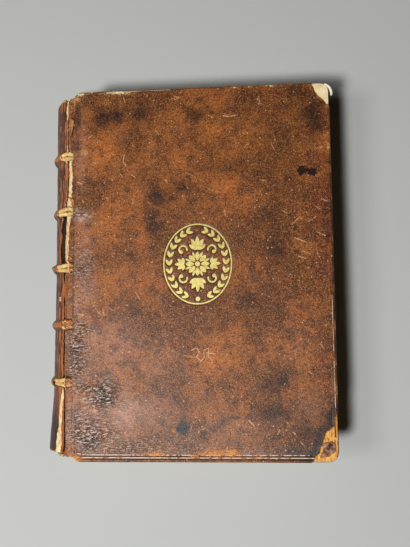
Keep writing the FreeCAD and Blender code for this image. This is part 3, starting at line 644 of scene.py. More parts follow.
def shell(name, outer, inner):
    """A closed sheet from its two faces, given as grids of points."""
    rows, columns = outer.shape[:2]
    count = rows * columns
    faces = grid_faces(rows, columns)
    faces += [[v + count for v in f[::-1]] for f in grid_faces(rows, columns)]
    ring = ring_order(rows, columns)
    for i, a in enumerate(ring):
        b = ring[(i + 1) % len(ring)]
        faces.append([b, a, a + count, b + count])
    return make_piece(name, np.concatenate([outer.reshape(-1, 3), inner.reshape(-1, 3)]), faces)


def make_front_strips():
    """The leather that still reaches over the front joint, in lengths between the bands."""
    ends = [STRIP_HEAD_Y]
    for band in BAND_YS:
        ends += [band + NOTCH_HALF + 0.1, band - NOTCH_HALF - 0.1]
    ends.append(STRIP_TAIL_Y)
    strips = []
    for number, (high, low) in enumerate(zip(ends[::2], ends[1::2]), 1):
        ys = np.arange(low, high, STRIP_STEP)
        t = np.linspace(0, 1, 16)
        width = strip_width(ys) + 0.35 * rough(ys, 0 * ys, 6, 61) + 0.22 * rough(ys, 0 * ys, 1.3, 64)
        width = np.clip(width, 1.5, STRIP_RUN - 0.05)
        end = np.minimum(ys - low, high - ys)
        width = width * (0.7 + 0.3 * smooth(end, 0, 2.2))
        y, tt = np.meshgrid(ys, t, indexing="ij")
        run = width[:, None] * tt
        x = -HALF_WIDTH - run + 0.6 * (1 - tt)
        edge = width[:, None] - run
        start = smooth(tt, 0.0, 0.12)
        depth = strip_depth(run) * start + (STRIP_DIP - 0.35) * (1 - start)
        lift = 0.3 * tt**3 * (rough(y, x, 3.5, 66) + 0.1) + 0.1 * rough(y, x, 1.5, 67) * start
        dent = 0.45 * smooth(strip_raw(y) - edge, -0.2, 0.25)
        outer = np.stack([x, y, BOOK_THICKNESS - depth + lift - dent * 0.5], -1)
        thick = STRIP_THICKNESS * (1 - 0.45 * smooth(tt, 0.8, 1.0))
        inner = np.stack([x + 0.1 * tt, y, BOOK_THICKNESS - depth + lift - thick], -1)
        strip = shell(f"joint_leather_{number}", outer, inner)
        mark_sheet(strip, "raw", smooth(strip_raw(y) - edge + 0.3 * rough(y, x, 1.4, 68), -0.2, 0.2))
        mark_sheet(strip, "torn", 1 - smooth(edge, 0.3, 1.6))
        mark_sheet(strip, "flesh", np.zeros(run.shape), 1.0)
        p = points_of(strip)
        cover_patches(strip, p[:, 0] + 2.0, p[:, 1])
        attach(strip, "front_cover")
        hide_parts("front_leather")
        strips.append(strip)
    return strips


def make_band_leather():
    """The leather that still covers the cords beside the board at the three lower bands."""
    pieces = []
    for band, reach in COVERED_BANDS:
        us, vs = np.linspace(0, 1, 26), np.linspace(-1, 1, 34)
        u, v = np.meshgrid(us, vs, indexing="ij")
        width = reach * (1 - 0.12 * np.abs(v) ** 3) + 0.3 * rough(v * 3, 0 * v, 1.1, 400 + int(band))
        width = np.clip(width, 0, 5.8)
        x = -HALF_WIDTH + 0.9 - (width + 0.9) * u
        y = band + v * (3.9 + 0.25 * rough(u * 6, 0 * u, 2, 410))
        hump = np.clip(1 - np.abs(v) ** 2.6, 0, 1) ** 0.8
        flat = smooth(-HALF_WIDTH + 0.9 - x, 0.0, 2.0)
        depth = strip_depth(-HALF_WIDTH - x) - 2.35 * hump * flat - 0.12
        depth = np.maximum(depth, 0.25 - 0.6 * hump * flat) + 0.12 * rough(x, y, 1.8, 415)
        outer = np.stack([x, y, BOOK_THICKNESS - depth], -1)
        inner = np.stack([x, y, BOOK_THICKNESS - depth - BAND_THICKNESS], -1)
        piece = shell(f"band_leather_{BAND_YS.index(band) + 1}", outer, inner)
        edge = width * (1 - u)
        mark_sheet(piece, "torn", 1 - smooth(edge, 0.2, 1.3))
        mark_sheet(piece, "raw", (1 - smooth(edge, 0.2, 0.6)) * (band != BAND_YS[3]))
        # Orange on the hump's crown: rubbed leather and a painted highlight; darker at its two flanks
        mark_sheet(piece, "orange", 0.95 * hump)
        mark_sheet(piece, "dark", 0.9 * smooth(np.abs(v), 0.72, 0.95))
        mark_sheet(piece, "flesh", np.zeros(u.shape), 1.0)
        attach(piece, "front_cover")
        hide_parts("front_leather")
        pieces.append(piece)
    return pieces


def around_spine(radius, angle, y):
    a = np.radians(angle)
    return np.stack([AXIS_X - radius * np.cos(a), y, AXIS_Z + radius * np.sin(a)], -1)


def band_rise(y):
    """How far the leather stands out over the nearest cords."""
    rise = np.zeros_like(y)
    for band in BAND_YS:
        t = np.clip(np.abs(y - band) / BAND_HALF, 0, 1)
        rise = np.maximum(rise, BAND_RISE * (1 - t**2) ** 0.9)
    return rise


def flare(y, angle):
    """How far the leather stands away from the back towards the tail."""
    t = np.clip((FLARE_START_Y - y) / (FLARE_START_Y - SPINE_TAIL_Y), 0, 1)
    away = FLARE_BACK + (FLARE_FRONT - FLARE_BACK) * np.clip(angle / CRACK_ANGLE, 0, 1)
    hold = smooth(angle, REAR_ANGLE, REAR_ANGLE + 45)
    drift = 1.0 * smooth(-y, 0, 80) * hold * (1 - t)
    return (t * away + drift) * hold


def make_spine_leather():
    ys = np.arange(SPINE_TAIL_Y, SPINE_HEAD_Y + 0.01, SPINE_STEP)
    t = np.concatenate([np.linspace(0, 0.7, 41), np.linspace(0.7, 1, 52)[1:]])
    crack = spine_reach(ys) + 1.0 * rough(ys, 0 * ys, 7, 81) + 0.8 * rough(ys, 0 * ys, 1.5, 84)
    for band, back, half in BAND_GAPS:
        crack = crack - back * np.clip(1 - (np.abs(ys - band) / half) ** 4, 0, 1)
    y, tt = np.meshgrid(ys, t, indexing="ij")
    angle = REAR_ANGLE + (crack[:, None] - REAR_ANGLE) * tt
    end = np.minimum(SPINE_HEAD_Y - y, y - SPINE_TAIL_Y)
    away = crack[:, None] - angle
    edge = away * math.radians(1) * OUTER_RADIUS
    radius = OUTER_RADIUS + band_rise(y) + flare(y, angle)
    radius = radius + 0.12 * rough(y, angle, 7, 86) + 0.07 * rough(y, angle, 1.8, 88)
    radius = radius - 0.35 * (1 - smooth(end, 0, 1.2))
    front = smooth(angle, 20, 44)
    radius = radius - 0.55 * front * (1 - smooth(edge, 0, 3.5)) * np.clip(rough(y, 0 * y + 3, 9, 92), -0.5, 1)
    radius = radius + 0.25 * front * (np.abs(rough(y, angle * 3, 14, 94)) - 0.5)
    inset = np.where(y < -74, 1.1 + 1.0 * rough(y, 0 * y, 13, 89), 0.3 + 0.4 * rough(y, 0 * y, 5, 87))
    rim = sum(0.9 * np.exp(-(((y - band + 1.5) / 3.0) ** 2)) for band in BAND_YS[:3])
    ragged = 0.35 * rough(y, angle, 1.4, 96) + 0.35 * rough(y, 0 * y, 9, 91)
    raw = smooth(spine_raw(y) + rim - edge + ragged, -0.2, 0.2)
    raw = raw * smooth(edge, inset - 0.3, inset + 0.2)
    curl = np.exp(-(((y - 5.0) / 1.5) ** 2)) * smooth(angle, 8, 20) * (1 - smooth(angle, 22, 40))
    radius = radius + 1.6 * curl - 0.3 * raw
    thick = np.where(band_rise(y) > 0, LEATHER, SPINE_THICKNESS) * (1 - 0.35 * (1 - smooth(edge, 0, 1.2)))
    slope = np.clip((50 - angle) / 45, 0, 1) * smooth(y, 112, SPINE_HEAD_Y) * 1.2
    outer = around_spine(radius, angle, y - slope)
    inner = around_spine(radius - thick, angle, y - slope)
    piece = shell("spine_leather_skin", outer, inner)
    ridge = smooth(band_rise(y), 1.2, 2.1)
    streak = np.clip(0.3 * smooth(angle, 30, 50) + 0.85 * rough(y, angle * 2.6, 8, 97), 0, 1)
    grey = np.clip(1.0 - smooth(angle, 14, 34) + 0.3 * rough(y, angle, 12, 98), 0, 1)
    slit = np.exp(-((away - 7 - 1.5 * rough(y, 0 * y, 16, 99)) / 1.3) ** 2)
    slit = slit * smooth(rough(y, 0 * y, 22, 93), -0.5, 0.1)
    hole = np.hypot(y + 17.3, (angle - 43.0) * 0.42)
    mark_sheet(piece, "raw", np.maximum(raw, smooth(hole, 1.7, 1.3) * smooth(hole, 0.5, 0.9)))
    mark_sheet(piece, "torn", 1 - smooth(edge, 0.3, 2.4))
    mark_sheet(piece, "orange", np.maximum(streak, ridge * smooth(angle, 10, 40)))
    mark_sheet(piece, "scuff", 0.7 * (1 - smooth(end, 0.2, 2.0)) * (tt > 0.6))
    dark = np.maximum(np.maximum(grey, slit), 1 - smooth(hole, 0.5, 0.9))
    tail = smooth(-y, 84, 100) * 0.8
    mark_sheet(piece, "dark", np.maximum(dark, tail * (1 - raw)))
    mark_sheet(piece, "flesh", np.zeros(y.shape), 1.0)
    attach(piece, "text_block")
    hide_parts("spine_leather")
    return piece


def make_rear_joint():
    """The whole leather of the rear joint."""
    ys = np.arange(-REAR_JOINT_END, REAR_JOINT_END + 0.01, 1.0)
    t = np.linspace(0, 1, 22)
    y, tt = np.meshgrid(ys, t, indexing="ij")
    run = STRIP_RUN * (1 - tt) - 0.3
    x = -HALF_WIDTH - run
    z = strip_depth(run)
    turn = math.radians(REAR_ANGLE)
    end_x, end_z = AXIS_X - OUTER_RADIUS * math.cos(turn), AXIS_Z + OUTER_RADIUS * math.sin(turn)
    x = np.where(tt == 0, end_x - 0.05, x)
    z = np.where(tt == 0, end_z, z)
    outer = np.stack([x, y, z], -1)
    inner = np.stack([x + 0.15, y, z + STRIP_THICKNESS], -1)
    piece = shell("rear_joint_leather", inner, outer)
    p = points_of(piece)
    mark(piece, "dark", np.clip(0.4 + 0.4 * rough(p[:, 1], p[:, 0], 16, 95), 0, 1))
    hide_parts("rear_leather")
    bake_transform(piece)
    return piece


# What shows at the two torn corners


def make_corner_board(name, low_x, low_y, high_y, side):
    """The rough pasteboard that shows where a corner has lost its leather."""
    xs = np.arange(low_x, HALF_WIDTH, CORNER_STEP)
    ys = np.arange(low_y, high_y, CORNER_STEP)
    y, x = np.meshgrid(ys, xs, indexing="ij")
    half_x = HALF_WIDTH - 0.55 + 0.22 * rough(y, 0 * y, 2.6, 301) - 0.3
    half_y = HALF_HEIGHT - 0.55 + 0.22 * rough(x, 0 * x, 2.6, 303) - 0.3
    core_x, core_y = HALF_WIDTH - CORNER_RADIUS, HALF_HEIGHT - CORNER_RADIUS
    x = np.minimum(x, half_x)
    y = np.where(side * y > half_y, side * half_y, y)
    a, b = np.clip(x - core_x, 0, None), np.clip(side * y - core_y, 0, None)
    reach = np.hypot(a, b)
    limit = CORNER_RADIUS - 0.8 + 0.25 * rough(x, y, 2.0, 305)
    shrink = np.where(reach > limit, limit / np.maximum(reach, 1e-9), 1)
    x, y = np.where(a > 0, core_x + a * shrink, x), np.where(b > 0, side * (core_y + b * shrink), y)
    corner = np.where((a > 0) & (b > 0), limit - np.hypot(a, b) * shrink, FAR)
    inset = np.minimum(np.minimum(half_x - x, half_y - side * y), corner)
    rise = 0.12 + 0.16 * rough(x, y, 2.4, 307) + 0.1 * rough(x, y, 0.9, 309)
    z = BOOK_THICKNESS - LEATHER + np.clip(rise, -0.1, 0.45) - 0.55 * (1 - smooth(inset, 0, 1.0))
    outer = np.stack([x, y, z], -1)
    inner = np.stack([x, y, np.full(x.shape, BOOK_THICKNESS - BOARD_TOP + 0.15)], -1)
    piece = shell(name, outer, inner)
    mark_sheet(piece, "rim", 1 - smooth(inset, 0.2, 1.1), 1.0)
    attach(piece, "front_cover")
    return piece


def make_flap(name, corners, levels, seed):
    """A small three-cornered rag of leather, from its corners and each one's height over the cover."""
    t = np.linspace(0, 1, 14)
    u, v = np.meshgrid(t, t, indexing="ij")
    weights = [1 - u, u * (1 - v), u * v]
    x = sum(w * c[0] for w, c in zip(weights, corners)) + 0.25 * rough(u * 6, v * 6, 2.2, seed) * u
    y = sum(w * c[1] for w, c in zip(weights, corners)) + 0.35 * rough(u * 6, v * 6, 1.8, seed + 3) * u
    z = BOOK_THICKNESS + sum(w * c for w, c in zip(weights, levels))
    z = z + 0.2 * np.sin(u * math.pi) + 0.12 * rough(x, y, 1.2, seed + 5)
    outer, inner = np.stack([x, y, z], -1), np.stack([x, y, z - FLAP_THICKNESS], -1)
    piece = shell(name, outer, inner)
    rim = np.minimum(np.minimum(v, 1 - v) * u, 1 - u)
    mark_sheet(piece, "torn", 1 - smooth(rim, 0.0, 0.3), 1.0)
    mark(piece, "orange", np.full(2 * x.size, 0.9))
    mark(piece, "scuff", np.full(2 * x.size, 0.62))
    mark_sheet(piece, "flesh", np.zeros(x.shape), 1.0)
    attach(piece, "front_cover")
    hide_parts("front_leather")
    return piece


def make_splinter():
    """A pale sliver of board that curls off the corner at the head."""
    line = np.array(SPLINTER)
    s = np.linspace(0, len(line) - 1, 40)
    centre = np.stack([np.interp(s, np.arange(len(line)), line[:, k]) for k in range(3)], 1)
    forward = np.gradient(centre, axis=0)
    forward /= np.linalg.norm(forward, axis=1)[:, None]
    side = np.cross(forward, (0, 0, 1))
    across = np.linspace(-1, 1, 7)
    half = 0.85 * np.sin(np.clip((s + 0.6) / (len(line) + 0.2), 0, 1) * math.pi) ** 0.5
    half = half + 0.1 * rough(s * 3, 0 * s, 1, 311)
    bow = 0.25 * (1 - across**2)
    outer = centre[:, None] + side[:, None] * (half[:, None] * across)[..., None]
    outer = outer + np.array([0, 0, 1]) * bow[None, :, None]
    piece = shell("corner_splinter", outer, outer - np.array([0, 0, 0.4]))
    mark(piece, "rim", np.ones(2 * outer.shape[0] * outer.shape[1]))
    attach(piece, "front_cover")
    return piece


def make_remnant():
    """A rag of leather that is still stuck to the bare corner at the tail."""
    outline = np.array(jagged(REMNANT, 0.3, 5, 0.6))
    centre = np.mean(outline, axis=0)
    rings = np.linspace(1, 0.06, 12)[:, None]
    x = centre[0] + (outline[:, 0] - centre[0]) * rings
    y = centre[1] + (outline[:, 1] - centre[1]) * rings
    rise = 0.66 + 0.34 * rough(x, y, 2.4, 321) + 0.4 * rings**4 * np.where(x > centre[0], 0.6, -0.3)
    base = BOOK_THICKNESS - LEATHER
    count, first = len(outline), x.size
    foot = np.column_stack([outline, np.full(count, base + 0.05)])
    points = np.concatenate([np.stack([x, y, base + rise], -1).reshape(-1, 3), foot])
    faces = grid_faces(len(rings), count, close_columns=True)
    faces.append(list(range(first - count, first)))
    faces += [[first + i, first + (i + 1) % count, (i + 1) % count, i] for i in range(count)]
    faces.append(list(range(first, first + count))[::-1])
    piece = make_piece("corner_remnant", points, faces)
    torn = np.concatenate([np.broadcast_to(rings > 0.9, x.shape).ravel(), np.ones(count)])
    x, y = points[:, 0], points[:, 1]
    mark(piece, "pink_and_sheen", np.full(len(points), 0.7))
    mark(piece, "red", np.full(len(points), 0.4))
    mark(piece, "orange", np.clip(rough(x, y, 3.0, 327) * 1.6, 0, 1))
    # Dark: patches by noise, and painted shadow along the rag's torn rim
    mark(piece, "dark", np.maximum(smooth(rough(x, y, 3.4, 325), 0.1, 0.5), 0.9 * torn))
    mark(piece, "torn", torn)
    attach(piece, "front_cover")
    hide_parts("front_leather")
    return piece


# Cords, endbands and pages


def rings_round(centre, places, columns):
    """Each ring point's place along a path that lies across the book, its turn about it and its direction."""
    forward = np.gradient(centre, axis=0)
    forward /= np.linalg.norm(forward, axis=1)[:, None]
    side = np.tile([0.0, 1.0, 0.0], (len(centre), 1))
    up = np.cross(forward, side)
    turns = np.linspace(0, 2 * math.pi, columns, endpoint=False)
    way, turn = np.meshgrid(places, turns, indexing="ij")
    return way, turn, side[:, None] * np.cos(turn)[..., None] + up[:, None] * np.sin(turn)[..., None]


def cord(path, seed):
    """A twisted cord along a path: its rings of points, with its strands wound round each other."""
    path = np.asarray(path, float)
    step = np.linalg.norm(np.diff(path, axis=0), axis=1)
    along = np.concatenate([[0], np.cumsum(step)])
    count = int(along[-1] / CORD_STEP)
    s = np.linspace(0, along[-1], count)
    centre = np.stack([np.interp(s, along, path[:, k]) for k in range(3)], 1)
    way, turn, outward = rings_round(centre, s, 18)
    lobe = np.abs(np.cos((turn - way * 2 * math.pi / CORD_TWIST) * CORD_STRANDS / 2))
    r = CORD_RADIUS * (0.74 + 0.26 * lobe**0.7) + 0.06 * rough(way * 3, turn * 4, 1.0, seed)
    rings = centre[:, None] + outward * r[..., None]
    fade = smooth(s, 0, 2)[:, None]
    return centre[:, None] + (rings - centre[:, None]) * (0.6 + 0.4 * fade)[..., None]


def tube_faces(rows, columns, first):
    """Faces of a capped tube."""
    faces = grid_faces(rows, columns, first, close_columns=True)
    faces.append([first + i for i in range(columns)][::-1])
    faces.append([first + (rows - 1) * columns + i for i in range(columns)])
    return faces


def join_tubes(name, tubes):
    points, faces, first = [], [], 0
    for rings in tubes:
        rows, columns = rings.shape[:2]
        points.append(rings.reshape(-1, 3))
        faces += tube_faces(rows, columns, first)
        first += rows * columns
    return make_piece(name, np.concatenate(points), faces)


def make_cords():
    """The double cords from the rear joint over the back, across the split joint and into the front board."""
    angles = np.linspace(REAR_ANGLE + 1, CORD_END_ANGLE, 60)
    pieces = []
    for number, band in enumerate(BAND_YS, 1):
        tubes = []
        for side in (-1, 1):
            y = band + side * CORD_HALF_GAP
            path = [tuple(around_spine(CORD_PATH_RADIUS + 0.1, np.array(a), np.array(y))) for a in angles]
            path += [(x, y + side * spread, z) for x, spread, z in CORD_WAY]
            tubes.append(cord(path, 100 + number * 2 + side))
        piece = join_tubes(f"laced_cords_{number}", tubes)
        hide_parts(f"sewing_cord_{number}", f"front_slip_{number}")
        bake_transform(piece)
        pieces.append(piece)
    return pieces


def make_endband(name, node, y):
    angles = np.linspace(-ENDBAND_ANGLE, ENDBAND_ANGLE, 240)
    path = np.array([around_spine(BACK_RADIUS - ENDBAND_INSET, np.array(a), np.array(y)) for a in angles])
    way, _, outward = rings_round(path, np.arange(len(path)), 14)
    r = ENDBAND_RADIUS * (0.88 + 0.12 * np.abs(np.sin(way * math.pi / 4)))
    piece = join_tubes(name, [path[:, None] + outward * r[..., None]])
    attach(piece, "text_block")
    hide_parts(node)
    return piece


def make_pages():
    """The text block, whose gatherings and leaves don't lie quite even."""
    rng = np.random.default_rng(7)
    levels = [BLOCK_LOW - out for out in reversed(SHOULDER_LAYERS)]
    pitch = (BLOCK_HIGH - BLOCK_LOW) / GATHERINGS
    for i in range(GATHERINGS):
        low = BLOCK_LOW + i * pitch
        levels += [low + 0.02] + [low + pitch * share for share in GATHERING_LAYERS]
    levels += [BLOCK_HIGH] + [BLOCK_HIGH + out for out in SHOULDER_LAYERS]
    xs = np.linspace(0, 1, 28)
    ys = np.linspace(-1, 1, 62)
    loops = []
    fore_shift = rng.uniform(-0.35, 0.0, GATHERINGS + 1)
    end_shift = rng.uniform(-0.5, 0.0, GATHERINGS + 1)
    for z in levels:
        mid = (z - AXIS_Z) / (BLOCK_HIGH - AXIS_Z)
        spine = AXIS_X - math.sqrt(BACK_RADIUS**2 - (z - AXIS_Z) ** 2)
        index = int(np.clip((z - BLOCK_LOW) / pitch, 0, GATHERINGS))
        inside = BLOCK_LOW <= z <= BLOCK_HIGH
        if inside:
            hollow = HOLLOW * (1 - min(1.0, mid * mid))
            fore = BLOCK_FORE - hollow + fore_shift[index] + rng.uniform(-0.12, 0.0)
        else:
            over = SHOULDER_HEIGHT - (BLOCK_LOW - z if z < BLOCK_LOW else z - BLOCK_HIGH)
            fore = max(SHOULDER_X + SHOULDER_RUN * over / SHOULDER_HEIGHT, spine + 0.02)
        half = BLOCK_END + end_shift[index] + rng.uniform(-0.15, 0.0)
        bottom = [(spine + (fore - spine) * t, -half) for t in xs]
        right = [(fore, half * t) for t in ys[1:-1]]
        top = [(spine + (fore - spine) * t, half) for t in xs[::-1]]
        left = [(spine, half * t) for t in ys[::-1][1:-1]]
        loop = np.array(bottom + right + top + left)
        loop = np.column_stack([loop, np.full(len(loop), z)])
        if inside:
            wobble = 0.12 * rough(loop[:, 1], loop[:, 0], 24, 200 + index)
            loop[:, 0] += np.where(loop[:, 0] > fore - 0.01, -np.abs(wobble), 0)
        loops.append(loop)
    rings = np.array(loops)
    rows, columns = rings.shape[:2]
    piece = make_piece("pages", rings.reshape(-1, 3), tube_faces(rows, columns, 0), flat=True)
    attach(piece, "text_block")
    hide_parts("text_block")
    return piece


# Materials


def tone(rgb):
    """A tone from 0 to 255 as the linear colour that a material takes."""
    def linear(c):
        c = c / 255
        return c / 12.92 if c <= 0.04045 else ((c + 0.055) / 1.055) ** 2.4
    return tuple(linear(c) for c in rgb) + (1.0,)


class Shader:
    """A procedural material that is built node by node. Its colours are sockets or tones from 0 to 255."""

    def __init__(self, name, roughness=0.6, specular=0.5):
        self.material = bpy.data.materials.new(name)
        self.material.use_nodes = True
        self.tree = self.material.node_tree
        self.surface = self.tree.nodes["Principled BSDF"]
        self.surface.inputs["Roughness"].default_value = roughness
        self.surface.inputs["Specular IOR Level"].default_value = specular
        self.place = self.node("ShaderNodeTexCoord").outputs["Object"]
        self.relief = None

    def node(self, kind, inputs=None, **settings):
        """A new node with these settings, and with these values or links at its inputs."""
        made = self.tree.nodes.new(kind)
        for key, value in settings.items():
            setattr(made, key, value)
        for key, value in (inputs or {}).items():
            self.put(made.inputs[key], value)
        return made

    def put(self, socket, value):
        if isinstance(value, bpy.types.NodeSocket):
            self.tree.links.new(value, socket)
        else:
            socket.default_value = value

    def math(self, operation, a, b=0.0, clamp=False):
        return self.node("ShaderNodeMath", {0: a, 1: b}, operation=operation, use_clamp=clamp).outputs[0]

    def times(self, a, b, clamp=False):
        return self.math("MULTIPLY", a, b, clamp)

    def plus(self, a, b, clamp=False):
        return self.math("ADD", a, b, clamp)

    def minus(self, a, b):
        return self.math("SUBTRACT", a, b)

    def vector(self, operation, inputs):
        return self.node("ShaderNodeVectorMath", inputs, operation=operation).outputs

    def scaled(self, size, stretch=(1, 1, 1)):
        """The place on the object, counted in patches of about this many millimetres."""
        scale = [1 / (size * MM * s) for s in stretch]
        return self.node("ShaderNodeMapping", {"Vector": self.place, "Scale": scale}).outputs[0]

    def noise(self, size, detail=3.0, strength=0.55, stretch=(1, 1, 1), distortion=0.0):
        """Noise from 0 to 1 in patches of about this many millimetres."""
        inputs = {"Vector": self.scaled(size, stretch), "Scale": 1.0, "Detail": detail, "Roughness": strength,
                  "Distortion": distortion}
        return self.node("ShaderNodeTexNoise", inputs).outputs["Fac"]

    def cells(self, size):
        """The distance from the nearest of many scattered points, in shares of this many millimetres."""
        inputs = {"Vector": self.scaled(size), "Scale": 1.0}
        return self.node("ShaderNodeTexVoronoi", inputs, feature="F1").outputs["Distance"]

    def step(self, value, low, high):
        """0 below low, 1 above high, and a soft step between them."""
        inputs = {"Value": value, "From Min": low, "From Max": high}
        return self.node("ShaderNodeMapRange", inputs, interpolation_type="SMOOTHSTEP").outputs["Result"]

    def mix(self, share, a, b):
        colours = [tone(c) if isinstance(c, tuple) else c for c in (a, b)]
        inputs = {"Factor": share, "A": colours[0], "B": colours[1]}
        return self.node("ShaderNodeMix", inputs, data_type="RGBA").outputs["Result"]

    def over(self, colour, rgb, mask, strength=None):
        """The colour with a tone laid over it where the mask is."""
        return self.mix(mask if strength is None else self.times(mask, strength), colour, rgb)

    def read(self, name):
        return self.node("ShaderNodeAttribute", attribute_name=name).outputs["Fac"]

    def part(self, vector, axis):
        return self.node("ShaderNodeSeparateXYZ", {0: vector}).outputs[axis]

    def patch(self, mask, grain, soft=0.12, level=0.5):
        """A mask whose edge is broken up by noise."""
        broken = self.plus(mask, self.times(self.minus(grain, 0.5), 0.9))
        return self.step(broken, level - soft, level + soft)

    def marked(self, name, grain, soft=0.12, level=0.5):
        return self.patch(self.read(name), grain, soft, level)

    def stroke(self, start, end, width):
        """A thin line on the cover between two points, in millimetres: 1 on it and 0 beside it."""
        a, b = Vector((*start, 0)) * MM, Vector((*end, 0)) * MM
        flat = self.vector("MULTIPLY", {0: self.place, 1: (1, 1, 0)})[0]
        away = self.vector("SUBTRACT", {0: flat, 1: a})[0]
        share = self.vector("DOT_PRODUCT", {0: away, 1: (b - a) / (b - a).length_squared})["Value"]
        held = self.math("MAXIMUM", self.math("MINIMUM", share, 1.0), 0.0)
        along = self.vector("SCALE", {0: b - a, "Scale": held})[0]
        gap = self.vector("DISTANCE", {0: away, 1: along})["Value"]
        return self.minus(1.0, self.step(gap, width * 0.25 * MM, width * 0.5 * MM))

    def strokes(self, lines):
        total = None
        for x0, y0, x1, y1, width in lines:
            line = self.stroke((x0, y0), (x1, y1), width)
            total = line if total is None else self.math("MAXIMUM", total, line)
        return total

    def bump(self, height, distance, strength=1.0):
        """Adds relief of this many millimetres."""
        inputs = {"Distance": distance * MM, "Strength": strength, "Height": height}
        if self.relief is not None:
            inputs["Normal"] = self.relief
        self.relief = self.node("ShaderNodeBump", inputs).outputs["Normal"]
        self.put(self.surface.inputs["Normal"], self.relief)

    def finish(self, colour, roughness=None):
        self.put(self.surface.inputs["Base Color"], colour)
        if roughness is not None:
            self.put(self.surface.inputs["Roughness"], roughness)
        return self.material


# Scratches on the front cover, pale lines along the tooled lines (painted highlights on their ridges, most of
# all at the tail), and dark lines (scratches, and painted shade in the tooled grooves at the tail): x and y
# of both ends, and width
PALE_SCRATCHES = (
    (16, 104.4, 20, 103.6, 0.9), (20, 103.6, 24.4, 104.4, 0.8), (54.6, 38.2, 57.6, 36.8, 0.6),
    (84, 44, 80, 45.6, 0.6), (79.4, 39, 76.4, 40.6, 0.5), (-51.6, 79.4, -52.4, 75.2, 0.7),
    (-52.4, 75.2, -50.4, 72.4, 0.6), (-54.6, 67, -52.6, 64.4, 0.5), (-17, 119, -13.6, 118.4, 0.7),
    (-9.6, 57.6, -8, 55, 0.4), (16, 40, 16.6, 36.2, 0.6), (64, 8, 69, 6.4, 0.6),
    (-62, -24, -59.4, -25.8, 0.5), (-83.4, -27.6, -79, -29, 0.8), (-66, -24.6, -65.2, -29.4, 0.6),
    (-70, -26, -67.6, -28.4, 0.5), (58.4, -105.6, 59.8, -107, 0.8), (62.6, -111.4, 65, -114.2, 0.6),
    (48, -107, 50, -104, 0.5), (-7, -52.8, -3.4, -51, 0.7), (-3.4, -51, -1.6, -54, 0.7),
    (-1.6, -54, -3.6, -57, 0.7), (-3.6, -57, -0.6, -60, 0.7), (-0.6, -60, 1.6, -57, 0.6),
    (1.6, -57, 1.2, -52.6, 0.6), (1.2, -52.6, 4.6, -51.4, 0.6), (4.6, -51.4, 4, -56.4, 0.7),
    (4, -56.4, 6.6, -59.4, 0.6), (3, -54.4, 9, -55.2, 0.7), (-12, -56, -5, -57.4, 0.5),
    (-47, 66, -44, 64, 0.5), (-52, 119.6, -50.8, 116.2, 0.7), (62, 20.4, 69.6, 17, 0.7),
    (67, 11.4, 72.4, 9, 0.5), (71, 30.6, 76.4, 34, 0.5), (77, 23.6, 82, 21.4, 0.6), (60.4, 29, 66, 34.2, 0.5),
    (-84, 62, -80.6, 60.4, 0.8), (-76.4, 92, -73.6, 94.4, 0.7), (10, -12, 13.6, -14, 0.5),
    (-44, -14, -41, -19, 0.5), (30, -98, 33.4, -101.6, 0.7), (69, -66.8, 72, -69.2, 0.5),
    (77, -49.4, 79.2, -52.4, 0.5), (40, 60, 44.2, 58.8, 0.5), (48, 84, 50.2, 79.6, 0.5),
    (-30, 96, -27.6, 93, 0.5), (30, 82, 32.4, 85, 0.4), (-5, 64, -8.6, 66, 0.4), (-24, 62, -22, 59.6, 0.4),
    (40, 117, 41, 111.8, 0.4),
)
# Pale lines along the tooled lines: painted highlights on the ridges beside the grooves, most of all at the
# tail, broken up like worn tooling
FILLET_HIGHLIGHTS_AND_WEAR = (
    (-83, -119.4, -78, -120.2, 0.8), (-78, -120.2, -6, -120.3, 0.8), (2, -120.3, 68, -120.2, 0.8),
    (-80, -121.9, -20, -122, 0.9), (-20, -122, 76, -121.9, 0.8), (85.4, -60, 85.5, -90, 0.5),
    (85.3, -18, 85.4, -54, 0.4), (-64, 123.9, -20, 124, 0.4),
)
# Dark scratches, and two long strokes at the tail that are painted shade in the tooled grooves
DARK_SCRATCHES_AND_GROOVE_SHADE = (
    (-35.2, 32.2, -31.2, 25, 0.7), (-60.6, 56, -60, 32, 0.35), (-36, 58, -46, 58.6, 0.4),
    (20, 55, 36, 51, 0.5), (12, 88, 22, 90.6, 0.4), (-2.8, -66.6, 0, -66.8, 1.3), (10, -45, 40, -42, 0.35),
    (-15.2, -119.6, -14.6, -121.6, 1.1), (-81, -121.1, 70, -121.1, 0.9), (-80, -123.1, 70, -123.1, 1.1),
    (48, -78.4, 55, -79.6, 0.5), (56, -76, 58.6, -80.4, 0.4), (-84.6, -87.6, -80.6, -87.8, 0.8),
    (-63, -66, -56, -70, 0.8), (-56, -70, -54, -78, 0.8), (-54, -78, -56.6, -86, 0.8),
    (66, -105, 69, -100, 0.6), (-20, 70, -4, 66, 0.3),
)
BOARD_SLITS = ((84.9, -100, 85.1, -108.6, 0.9), (83, -104, 82.2, -109, 0.5), (86, -94, 85.6, -99, 0.4))


